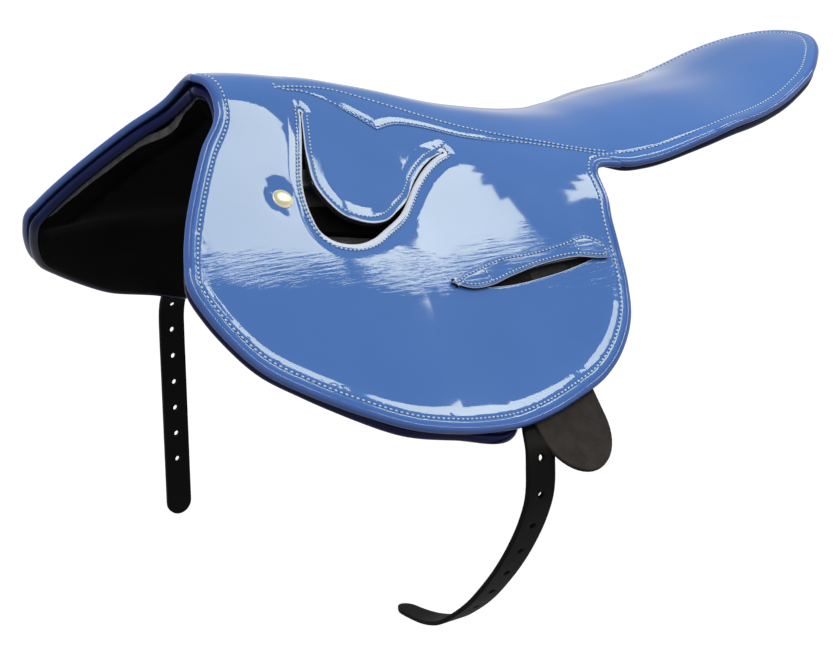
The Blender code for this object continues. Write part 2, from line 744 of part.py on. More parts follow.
def make_tree(shop):
    """The half tree with its head plate, stirrup bars, rivets and girth web."""
    half_foot = BAR_FOOT[0] / 2
    feet = ((WINDOW_BACK[0] - half_foot, BAR_OUT), (WINDOW_BACK[1] + half_foot, BAR_OUT))
    low, high = WINDOW_OUT
    front, rear = WINDOW_BACK
    tree_loops = [curve_through(both_sides(TREE_FRONT + TREE_OUTER + TREE_INNER), closed=True)]
    for side in SIDE_NAMES:
        tree_loops.append(plan(((front, low), (rear, low), (rear, high), (front, high)), side))
        tree_loops += steel_holes(side, feet + PLATE_RIVETS)
    shop.drape("tree", tree_loops, TREE_BOTTOM, TREE_TOP, shop.laminate)

    front, rear = PLATE_BACK
    bend = PLATE_OUT / 2
    plate = ((front, 0), (front, bend), (front - PLATE_SWEEP, PLATE_OUT), (rear - PLATE_SWEEP, PLATE_OUT))
    plate_loops = [both_sides(plate + ((rear, bend), (rear, 0)))]
    for side in SIDE_NAMES:
        plate_loops += steel_holes(side, PLATE_RIVETS)
    plate_top = STEEL_BOTTOM + PLATE_STEEL
    shop.drape("head_plate", plate_loops, STEEL_BOTTOM, plate_top, shop.steel)

    front, rear = WEB_BACK
    web = both_sides(((front, 0), (front, WEB_OUT), (rear, WEB_OUT), (rear, 0)))
    shop.drape("girth_web", [web], STEEL_BOTTOM, STEEL_BOTTOM + WEB_THICKNESS, shop.web)

    bar_top = STEEL_BOTTOM + BAR_STEEL
    for side, word in SIDE_NAMES.items():
        bar_loops = [plan(bar_outline(), side)] + steel_holes(side, feet)
        shop.drape(f"{word}_stirrup_bar", bar_loops, STEEL_BOTTOM, bar_top, shop.steel)
        for place, (back, out) in zip(("front", "rear"), feet):
            rivet(shop, f"{word}_bar_rivet_{place}", back, side * out, bar_top)
        for place, (back, out) in zip(("upper", "lower"), PLATE_RIVETS):
            rivet(shop, f"{word}_head_rivet_{place}", back, side * out, plate_top)


def bar_outline():
    """A stirrup bar's flat outline: a narrow bar over the window, with a wide foot at each end."""
    front, rear = WINDOW_BACK
    length, width = BAR_FOOT
    wide, narrow = width / 2, BAR_WIDTH / 2
    line = (
        (front - length, wide), (front, wide), (front + BAR_TAPER, narrow), (rear - BAR_TAPER, narrow),
        (rear, wide), (rear + length, wide),
    )
    lower = [(back, BAR_OUT + reach) for back, reach in line]
    return lower + [(back, BAR_OUT - reach) for back, reach in reversed(line)]


def rivet(shop, name, back, out, seat):
    """A domed rivet on a plate's top, whose shank runs through to the inner face of the tree."""
    shank = TREE_BOTTOM - seat
    profile = dome(RIVET_HEAD, RIVET_HEAD_HEIGHT, RIVET_SEAT)
    profile += [(RIVET_SHANK, RIVET_SEAT), (RIVET_SHANK, shank), (0.0, shank)]
    place = shop.former.place(back * MM, out * MM, seat)
    shop.turned(name, profile, place, shop.former.normal(back * MM, out * MM), shop.steel)


def make_padding(shop):
    """Pommel pad and seat foam over the tree."""
    front, rear = PAD_BACK
    pad_loops = [both_sides(((front, 0), (front - PLATE_SWEEP, PAD_OUT), (rear, PAD_OUT), (rear, 0)))]
    for side in SIDE_NAMES:
        pad_loops += [ring(place, PAD_HOLE) for place in plan(PLATE_RIVETS, side)]
    shop.drape("pommel_pad", pad_loops, UNDER_COVER - PAD_THICKNESS, UNDER_COVER, shop.foam)

    side_line = [point for point in reversed(COVER_SEAT_EDGE) if FOAM_FRONT < point[0] < FOAM_REAR]
    rear_out = side_line[-1][1] - FOAM_TUCK
    half = [(FOAM_FRONT, 0)] + side_line + [(FOAM_REAR, rear_out), (FOAM_REAR, 0)]
    foam = inset(curve_through(both_sides(half)), FOAM_INSET)
    foam_bottom = STEEL_BOTTOM + WEB_THICKNESS + LAYER_GAP
    shop.drape("seat_foam", [foam], foam_bottom, -FOAM_ROOM, shop.foam)


def make_panels(shop):
    """Felt panels with their lining and rolled binding."""
    former = shop.former
    top = former.depths(panel_top)
    bottom = top - PANEL_FELT
    lining_top = bottom - LAYER_GAP
    edge_points = FRONT_EDGE + LOWER_EDGE[:PANEL_LOWER_POINTS] + PANEL_REAR
    run = curve_through(plan(edge_points, NEAR))
    clear = 2 * PANEL_BINDING_RADIUS + LAYER_GAP
    rear = PANEL_REAR_END * MM
    channel = CHANNEL_HALF_WIDTH * MM
    felt_edge = [point for point in inset(run, clear, closed=False) if point[1] < -channel]
    for side, word in SIDE_NAMES.items():
        felt = [(felt_edge[0][0], side * channel)]
        felt += [(back, -side * out) for back, out in felt_edge]
        felt.append((rear, side * channel))
        shop.drape(f"{word}_panel", [felt], bottom, top, shop.felt)

    lining_edge = inset(run, clear + LINING_INSET, closed=False)
    near_line = [point for point in lining_edge if point[1] < -MIN_EDGE * MM]
    half = [(near_line[0][0], 0.0)] + near_line + [(rear, 0.0)]
    lining = half + [(back, -out) for back, out in reversed(half[1:-1])]
    shop.drape("panel_lining", [lining], lining_top - LINING_LEATHER, lining_top, shop.black)

    roll_points = edge_points[:len(FRONT_EDGE) + PANEL_LOWER_POINTS + BINDING_REAR_POINTS]
    roll = inset(curve_through(plan(roll_points, NEAR)), PANEL_BINDING_RADIUS, closed=False)
    near_roll = [
        former.place(back, out, edge_top(back, -out) - PANEL_FELT / 2)
        for back, out in roll if out < -MIN_EDGE * MM
    ]
    crown = former.place(roll[0][0], 0.0, UNDER_COVER - PANEL_FELT / 2)
    off_roll = [Vector((point.x, -point.y, point.z)) for point in near_roll]
    line = near_roll[::-1] + [crown] + off_roll
    shop.tube("panel_binding", line, PANEL_BINDING_RADIUS, shop.binding)


def make_tail(shop):
    """The padded tail under the seat cover: board, felt, lining and rolled binding."""
    board = tail_outline(TAIL_BOARD_FRONT, BOARD_INSET)
    shop.drape("tail_board", [board], -TAIL_BOARD, 0.0, shop.laminate)
    pad_front = TAIL_BOARD_FRONT + MIN_EDGE
    pad_clear = 2 * TAIL_BINDING_RADIUS + LAYER_GAP
    pad_top = -(TAIL_BOARD + LAYER_GAP)
    pad_bottom = pad_top - TAIL_FELT
    shop.drape("tail_pad", [tail_outline(pad_front, pad_clear)], pad_bottom, pad_top, shop.felt)
    lining_top = pad_bottom - LAYER_GAP
    lining = tail_outline(pad_front, pad_clear + LINING_INSET)
    shop.drape("tail_lining", [lining], lining_top - LINING_LEATHER, lining_top, shop.black)
    depth = pad_top - TAIL_BINDING_RADIUS
    roll = tail_outline(pad_front, TAIL_BINDING_RADIUS)
    line = [shop.former.place(back, out, depth) for back, out in roll]
    shop.tube("tail_binding", line, TAIL_BINDING_RADIUS, shop.binding)


def strap_former(shop, side, back, drop):
    """The route of a girth strap: from the girth web, under the flap and down."""
    half = STRAP_WIDTH / 2
    depth = STRAP_TOP - STRAP_LEATHER / 2
    rails = []
    for edge in (back - half, back + half):
        under = [shop.former.place(edge, side * out * MM, depth) for out in STRAP_UNDER_FLAP]
        hanging = [(edge, side * y * MM, ARCH_HEIGHT + z * MM) for y, z in drop]
        rails.append([Vector(point) for point in curve_through(under + hanging, step=STRAP_BEND_STEP)])
    return StrapFormer(*rails)


def make_straps(shop):
    """Girth straps, each with its fixed upper end, and the buckle guards."""
    half = STRAP_WIDTH / 2
    straps = {
        NEAR: (NEAR_STRAP_BACK, NEAR_STRAP_DROP, NEAR_PIVOT_HEIGHT, NEAR_HOLE_PITCH),
        OFF: (OFF_STRAP_BACK, OFF_STRAP_DROP, OFF_PIVOT_HEIGHT, OFF_HOLE_PITCH),
    }
    turns = np.linspace(math.pi / 2, 3 * math.pi / 2, STRAP_END_STEPS)
    for side, word in SIDE_NAMES.items():
        back, drop, pivot_height, pitch = straps[side]
        former = strap_former(shop, side, back, drop)
        pivot = former.length_at(ARCH_HEIGHT + pivot_height)
        end = former.lengths[-1]
        top_end = [(pivot + half * math.cos(turn), half * math.sin(turn)) for turn in turns]
        tip = [(end - half - half * math.cos(turn), -half * math.sin(turn)) for turn in turns]
        loops = [top_end + tip]
        for hole in range(STRAP_HOLES):
            loops.append(ring((pivot + hole * pitch, 0.0), STRAP_HOLE_RADIUS))
        thickness = (-STRAP_LEATHER / 2, STRAP_LEATHER / 2)
        shop.drape(f"{word}_girth_strap", loops, *thickness, shop.strap, former=former)

        reach = half + JOINT_GAP
        spread = math.asin(half / reach)
        arc = [
            (pivot - reach * math.cos(turn), reach * math.sin(turn))
            for turn in np.linspace(-spread, spread, STRAP_END_STEPS)
        ]
        anchor = [(0.0, half), (0.0, -half)] + arc
        hole = ring((pivot - pitch, 0.0), STRAP_HOLE_RADIUS)
        shop.drape(f"{word}_strap_anchor", [anchor, hole], *thickness, shop.strap, former=former)

        front, rear = (edge * MM for edge in GUARD_BACK)
        centre, round_half = (front + rear) / 2, (rear - front) / 2
        low = GUARD_END_OUT * MM - round_half
        guard = [
            (centre + round_half * math.cos(turn), side * (low + round_half * math.sin(turn)))
            for turn in np.linspace(0, math.pi, GUARD_END_STEPS)
        ]
        guard += [(front, side * GUARD_TOP_OUT * MM), (rear, side * GUARD_TOP_OUT * MM)]
        shop.drape(f"{word}_buckle_guard", [guard], UNDER_COVER - GUARD_LEATHER, UNDER_COVER, shop.suede)


def main():
    """Builds the saddle."""
    shop = Workshop(clear_scene())
    make_covers(shop)
    make_tree(shop)
    make_padding(shop)
    make_panels(shop)
    make_tail(shop)
    make_straps(shop)


main()
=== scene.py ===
"""Looks of a racing saddle: patent leather, stitching and lining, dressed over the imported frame.

Metres, +Z up, +X from the pommel to the tail, the horse's near side at -Y. A sheet of leather is laid
out flat first. A flat point is "back" (towards the tail), "out" (from the centre plane) and a height
over the leather's own surface. The sheet is then moved onto the last, which has the shape that every
layer of the frame follows.
"""

import json
import logging
import math
from collections.abc import Callable, Iterator, Sequence
from contextlib import contextmanager
from dataclasses import dataclass, field
from enum import Enum

import bmesh
import bpy
import numpy as np
from mathutils import Matrix, Vector

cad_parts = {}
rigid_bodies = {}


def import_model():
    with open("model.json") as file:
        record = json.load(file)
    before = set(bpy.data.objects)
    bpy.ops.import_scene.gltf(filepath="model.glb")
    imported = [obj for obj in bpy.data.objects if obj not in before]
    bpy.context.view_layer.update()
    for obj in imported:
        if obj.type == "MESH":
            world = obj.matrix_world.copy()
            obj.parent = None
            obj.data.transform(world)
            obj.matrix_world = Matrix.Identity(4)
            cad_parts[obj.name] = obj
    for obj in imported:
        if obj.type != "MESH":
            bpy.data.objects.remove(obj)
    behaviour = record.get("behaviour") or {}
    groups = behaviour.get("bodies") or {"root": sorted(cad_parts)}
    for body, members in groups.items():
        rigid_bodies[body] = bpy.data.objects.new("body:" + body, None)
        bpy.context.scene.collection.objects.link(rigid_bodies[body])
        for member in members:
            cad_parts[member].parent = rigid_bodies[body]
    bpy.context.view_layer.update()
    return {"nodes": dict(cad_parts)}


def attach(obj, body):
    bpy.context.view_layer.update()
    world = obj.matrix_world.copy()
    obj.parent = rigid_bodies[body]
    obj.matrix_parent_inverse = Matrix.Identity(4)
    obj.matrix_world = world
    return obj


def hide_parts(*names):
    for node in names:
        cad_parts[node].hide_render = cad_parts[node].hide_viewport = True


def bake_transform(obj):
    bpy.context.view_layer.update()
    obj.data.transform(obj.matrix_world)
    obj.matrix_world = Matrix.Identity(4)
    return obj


LOG = logging.getLogger("racing_saddle")
MM = 0.001
Line = Sequence[tuple[float, float]]
Points = np.ndarray
Piece = bpy.types.Object
Socket = bpy.types.NodeSocket

# Outlines of one side, as (back, out) in millimetres
FRONT_EDGE: Line = (
    (-100, 0), (-97.5, 17), (-101, 31), (-121, 50), (-138, 68), (-153, 86), (-162, 100), (-167, 112),
)
LOWER_EDGE: Line = (
    (-164, 125), (-157.5, 139), (-147, 154.5), (-126.5, 170.5), (-99, 186), (-70, 198), (-38, 202.5),
    (-5, 200.5), (30, 195.5), (60, 189), (84, 183), (106, 173), (123, 160), (136, 142), (146, 121),
    (152, 107),
)
REAR_EDGE: Line = ((157.5, 97), (160, 87), (162, 80.5), (167, 76), (176, 75.5), (187, 78))
HIDDEN_EDGE: Line = (
    (178, 62), (166, 54), (150, 47), (131, 45), (98, 36), (49, 26), (16, 22), (-6, 13), (-12, 0),
)
PANEL_REAR: Line = (
    (8, 199.5), (17, 190), (22, 173), (31, 157), (50, 147), (90, 142), (122, 137), (142, 122), (151, 100),
    (153, 84),
)
SLIT_TIPS: Line = ((-42.8, 33.4), (54.5, 51.6))
SLIT_EDGE: Line = (
    (-51.5, 48.3), (-60, 61.5), (-68.4, 76), (-71.3, 88), (-70.5, 98), (-65.3, 102.6), (-56.4, 105),
    (-47, 105), (-36.5, 102.5), (-23.7, 96.8), (-6.2, 87.9), (19.5, 69), (32.8, 60.8), (45, 55),
)
SKIRT_EDGE: Line = (
    (-46, 40), (-56, 60.5), (-60, 75), (-57, 84), (-52, 90.5), (-43, 94.2), (-33.5, 95.3), (-22, 93.3),
    (-8, 86.6), (0.7, 81.9), (19.4, 67.9), (32.6, 59.9), (45.3, 54.3),
)
KEEPER_SLOT: Line = (
    (31, 127.8), (52, 124.3), (78, 121.6), (106, 122.8), (127, 125.6), (104, 127.0), (78, 127.6), (52, 128.2),
)
KEEPER_EDGE: Line = (
    (4, 125), (18, 128.4), (30, 128.2), (52, 124.8), (78, 122.1), (106, 123.3), (125, 127.4), (131, 128),
    (133, 122), (127, 116), (100, 114), (74, 114.4), (47, 114.6), (29, 117.8), (14, 121.2),
)
SEAT_FRONT: Line = ((-58, 0), (-56, 13), (-50, 20), (-34, 21.5), (-8, 30))
SEAT_POINT = (10, 39.5)
SEAT_SIDE: Line = (
    (27, 35.5), (49, 36.5), (76, 42), (98, 46), (131, 54), (150, 60.5), (168, 67.5), (180, 73),
    (190, 78.5), (208, 82),
)
TAIL_SIDE: Line = (
    (243, 85.5), (268, 87), (298, 84.5), (333, 78.5), (364, 72), (386, 65), (405, 52.5), (423, 35.5),
    (434, 18), (438, 0),
)


class Side(Enum):
    """The two sides of the saddle, by the sign of their Y."""

    NEAR = -1
    OFF = 1

    @property
    def word(self) -> str:
        """The side's word in the frame's names."""
        return self.name.lower()


def smooth_step(value: Points | float, start: float, end: float) -> Points:
    """0 before start, 1 after end, with an even curve between."""
    share = np.clip((np.asarray(value, float) - start) / (end - start), 0.0, 1.0)
    return share * share * (3.0 - 2.0 * share)


def hermite(t: Points, start: Points, end: Points, leave: Points, arrive: Points) -> Points:
    """The places at shares t of a curve between two ends, with the tangents that it has there."""
    return ((2 * t**3 - 3 * t**2 + 1) * start + (t**3 - 2 * t**2 + t) * leave
            + (3 * t**2 - 2 * t**3) * end + (t**3 - t**2) * arrive)


def curve_through(points: Sequence[Sequence[float]], step: float, closed: bool = False,
                  corners: Sequence[int] = ()) -> Points:
    """Points along a smooth curve.

    Args:
        points: The places that the curve passes, in the plane or in space.
        step: The wanted distance between the result's points.
        closed: Whether the curve comes back to its first point.
        corners: Numbers of the points where the curve turns sharply.

    Returns:
        One row for each point. An open curve has its last point too.
    """
    fixed = np.asarray(points, float)
    count = len(fixed)

    def tangent(index: int, leaving: bool) -> Points:
        """The direction at a fixed point.

        Args:
            index: The point's number.
            leaving: Whether the direction after it is wanted, and not the one before it.

        Returns:
            The direction. It has unit length at an end or a corner.
        """
        before, after = (fixed[(index + k) % count] - fixed[(index + k - 1) % count] for k in (0, 1))
        at_end = not closed and index in (0, count - 1)
        if at_end or index in corners:
            side = after if (index == 0 and at_end) or (leaving and not at_end) else before
            return side / np.linalg.norm(side)
        short, long = np.linalg.norm(before), np.linalg.norm(after)
        return (before / short * long + after / long * short) / (short + long)

    result = []
    for index in range(count if closed else count - 1):
        start, end = fixed[index], fixed[(index + 1) % count]
        length = np.linalg.norm(end - start)
        steps = max(1, round(length / step))
        leave, arrive = tangent(index, True) * length, tangent((index + 1) % count, False) * length
        result.append(hermite(np.arange(steps)[:, None] / steps, start, end, leave, arrive))
    return np.vstack(result if closed else [*result, fixed[-1:]])


def flat(line: Line) -> Points:
    """A line in millimetres as flat points in metres."""
    return np.asarray(line, float) * MM


def left_of(line: Points, closed: bool = False) -> Points:
    """Directions across a flat line.

    Args:
        line: The line's points.
        closed: Whether it comes back to its first point.

    Returns:
        For each point, the unit direction to its left.
    """
    along = np.roll(line, -1, axis=0) - np.roll(line, 1, axis=0) if closed else np.gradient(line, axis=0)
    along /= np.linalg.norm(along, axis=1)[:, None]
    return np.column_stack((-along[:, 1], along[:, 0]))


def turned(line: Points, probe: int, towards: tuple[float, float]) -> Points:
    """Directions across an open line, on the side where the one at a probe point leans towards another."""
    across = left_of(line)
    return across if across[probe] @ towards > 0 else -across


def beside(loop: Points, inwards: bool, probe: int = 20) -> Points:
    """Directions across a closed loop, all to its inside or all to its outside."""
    across = left_of(loop, True)
    return across if is_inside((loop[probe] + across[probe] * MM)[None], loop)[0] == inwards else -across


def run_lengths(line: Points) -> Points:
    """The length along a line at each of its points."""
    return np.concatenate(([0.0], np.cumsum(np.linalg.norm(np.diff(line, axis=0), axis=1))))


def spaced(line: Points, step: float) -> Points:
    """A line's points again at an even distance.

    Args:
        line: The line's points.
        step: The wanted distance.

    Returns:
        The new points, with both ends kept.
    """
    lengths = run_lengths(line)
    places = np.linspace(0.0, lengths[-1], max(2, round(lengths[-1] / step) + 1))
    return np.column_stack([np.interp(places, lengths, column) for column in line.T])


def other_half(rows: Points) -> Points:
    """The rows of a strip on the other side of the centre plane, with its faces up."""
    return rows[:, ::-1] * (1, -1, 1)


def both_sides(outs: Points) -> Points:
    """Distances from the centre plane, on both sides of it."""
    return np.concatenate((-outs[:0:-1], outs))


def distance_to(points: Points, line: Points) -> Points:
    """Distances from a line.

    Args:
        points: Flat points.
        line: The line's points.

    Returns:
        How far each flat point is from the line.
    """
    best = np.full(len(points), np.inf)
    for start, end in zip(line, line[1:]):
        along = end - start
        share = np.clip((points - start) @ along / max(along @ along, 1e-12), 0.0, 1.0)
        best = np.minimum(best, np.linalg.norm(points - start - share[:, None] * along, axis=1))
    return best


def is_inside(points: Points, loop: Points) -> Points:
    """Points within a loop.

    Args:
        points: Flat points.
        loop: The corners of a closed loop.

    Returns:
        For each point, whether it lies inside.
    """
    found = np.zeros(len(points), bool)
    for (x0, y0), (x1, y1) in zip(loop, np.roll(loop, -1, axis=0)):
        crosses = (y0 > points[:, 1]) != (y1 > points[:, 1])
        if y0 != y1:
            found ^= crosses & (points[:, 0] < (x1 - x0) * (points[:, 1] - y0) / (y1 - y0) + x0)
    return found


@dataclass(frozen=True)
class Last:
    """The shape under the leather, by its ridge and its slopes across the ridge."""

    arch: float = 0.039
    ridge: Line = (
        (-0.180, -0.003), (-0.100, 0.0), (-0.050, -0.003), (0.016, -0.017), (0.098, -0.038),
        (0.190, -0.049), (0.265, -0.044), (0.340, -0.038), (0.409, -0.018), (0.456, -0.011),
    )
    slopes: tuple[float, float, float] = (1.0, 0.42, 0.32)
    roundings: tuple[float, float, float] = (0.017, 0.035, 0.045)
    seat_zone: tuple[float, float] = (-0.010, 0.200)
    tail_zone: tuple[float, float] = (0.180, 0.300)
    seat_edges: tuple[float, float] = (0.062, 0.078)
    edge_blend: float = 0.026
    flare_start: float = 0.120
    flare: float = 1.2
    reach: float = 0.6 * MM

    def ridge_height(self, back: Points) -> Points:
        """Height of the ridge.

        Args:
            back: Places along the ridge.

        Returns:
            The height at each. Past its ends the ridge goes on straight.
        """
        backs, drops = np.array(self.ridge).T
        heights = self.arch + drops
        slopes = np.gradient(heights, backs)
        index = np.clip(np.searchsorted(backs, back, "right") - 1, 0, len(backs) - 2)
        length = backs[index + 1] - backs[index]
        t = (back - backs[index]) / length
        inside = hermite(t, heights[index], heights[index + 1],
                         slopes[index] * length, slopes[index + 1] * length)
        end = np.where(t < 0, index, index + 1)
        return np.where((t < 0) | (t > 1), heights[end] + slopes[end] * (back - backs[end]), inside)

    def height(self, back: Points, side: Points) -> Points:
        """Height of the outer leather.

        Args:
            back: Where points of the plan lie along the saddle.
            side: How far they are from the centre plane.

        Returns:
            The height at each.
        """
        out = np.abs(side)
        seat, tail = smooth_step(back, *self.seat_zone), smooth_step(back, *self.tail_zone)

        def blended(values: tuple[float, float, float]) -> Points:
            """A measure that changes from the front to the seat, and from there to the tail."""
            return values[0] + seat * (values[1] - values[0]) + tail * (values[2] - values[1])

        slope, rounding = blended(self.slopes), blended(self.roundings)
        drop = slope * ((out**3 + rounding**3) ** (1 / 3) - rounding)
        edge = self.seat_edges[0] + seat * (self.seat_edges[1] - self.seat_edges[0])
        bend = (out - edge + np.hypot(out - edge, self.edge_blend)) / 2
        level = (np.hypot(edge, self.edge_blend) - edge) / 2
        drop = drop + (self.slopes[0] - slope) * (bend - level) * (1 - tail)
        drop = drop - self.flare * np.maximum(0.0, out - self.flare_start) ** 2
        return self.ridge_height(back) - drop

    def normals(self, back: Points, side: Points) -> Points:
        """Directions out of the leather.

        Args:
            back: Where points of the plan lie along the saddle.
            side: How far they are from the centre plane.

        Returns:
            One unit direction for each.
        """
        rise = self.height(back + self.reach, side) - self.height(back - self.reach, side)
        fall = self.height(back, side + self.reach) - self.height(back, side - self.reach)
        found = np.column_stack((-rise, -fall, np.full(len(rise), 2 * self.reach)))
        return found / np.linalg.norm(found, axis=1)[:, None]

    def place(self, points: Points) -> Points:
        """Drapes flat points.

        Args:
            points: Rows of back, side and height over the leather.

        Returns:
            Their places in space.
        """
        back, side, height = points.T
        surface = np.column_stack((back, side, self.height(back, side)))
        return surface + self.normals(back, side) * height[:, None]


@dataclass(frozen=True)
class Swells:
    """Slow rises and hollows of a stretched flap: a spline over a grid of heights in millimetres."""

    first: tuple[float, float] = (-0.155, 0.075)
    step: tuple[float, float] = (0.045, 0.030)
    heights: Sequence[Sequence[float]] = (
        (0.0, 0.0, 0.0, 0.0, 0.0), (0.0, 0.2, 0.1, 0.0, -0.8), (0.2, 1.0, 0.2, -0.1, -2.1),
        (0.0, 1.7, 0.6, -0.1, -2.2), (0.0, 1.7, 0.6, -0.5, -2.2), (0.0, 0.8, 0.1, -0.8, -1.4),
        (1.2, 0.0, -0.2, -0.3, -0.3), (1.2, 0.0, 0.0, 0.0, 0.0),
    )

    @staticmethod
    def weight(distance: Points) -> Points:
        """How much a grid point counts.

        Args:
            distance: How many steps away it is.

        Returns:
            Its share in the height.
        """
        near = np.abs(distance)
        far = np.clip(2 - near, 0.0, 1.0) ** 3 / 6
        return np.where(near < 1, 2 / 3 - near**2 + near**3 / 2, far)

    def height(self, points: Points) -> Points:
        """The swell's height.

        Args:
            points: Flat points.

        Returns:
            The height at each.
        """
        table = np.array(self.heights)
        weights = []
        for axis, count in enumerate(table.shape):
            places = self.first[axis] + self.step[axis] * np.arange(count)
            weights.append(self.weight((points[:, axis, None] - places) / self.step[axis]))
        return np.einsum("pi,ij,pj->p", weights[0], table, weights[1]) * MM


def only(obj: Piece) -> None:
    """Selects one object alone and makes it the active one.

    Args:
        obj: The object.
    """
    bpy.ops.object.select_all(action="DESELECT")
    obj.select_set(True)
    bpy.context.view_layer.objects.active = obj


@contextmanager
def editing(obj: Piece) -> Iterator[Piece]:
    """Edit mode on one object alone, with all of its mesh selected.

    Args:
        obj: The object.

    Yields:
        The same object.
    """
    only(obj)
    bpy.ops.object.mode_set(mode="EDIT")
    bpy.ops.mesh.select_all(action="SELECT")
    yield obj
    bpy.ops.object.mode_set(mode="OBJECT")


def joined(objects: Sequence[Piece], name: str) -> Piece:
    """Several meshes made one.

    Args:
        objects: The objects.
        name: The name of the whole.

    Returns:
        The first object, which now holds them all.
    """
    only(objects[0])
    for obj in objects[1:]:
        obj.select_set(True)
    if len(objects) > 1:
        bpy.ops.object.join()
    whole = bpy.context.object
    whole.name = whole.data.name = name
    return whole


def points_of(obj: Piece) -> Points:
    """The vertices of a mesh.

    Args:
        obj: Its object.

    Returns:
        One row for each vertex.
    """
    found = np.empty(len(obj.data.vertices) * 3, np.float32)
    obj.data.vertices.foreach_get("co", found)
    return found.reshape(-1, 3).astype(float)


def set_points(obj: Piece, points: Points) -> None:
    """Moves the vertices of a mesh."""
    obj.data.vertices.foreach_set("co", points.astype(np.float32).ravel())
    obj.data.update()


def flip(obj: Piece) -> Piece:
    """Moves a piece to the other side of the centre plane, with its faces outward.

    Args:
        obj: The piece.

    Returns:
        The same piece.
    """
    obj.data.transform(Matrix.Scale(-1.0, 4, (0.0, 1.0, 0.0)))
    obj.data.flip_normals()
    return obj


def mirrored(obj: Piece, name: str) -> Piece:
    """Copies a piece to the other side.

    Args:
        obj: The piece.
        name: The copy's name.

    Returns:
        The copy, with its own mesh.
    """
    copy = obj.copy()
    copy.data = obj.data.copy()
    copy.name = copy.data.name = name
    bpy.context.scene.collection.objects.link(copy)
    return flip(copy)


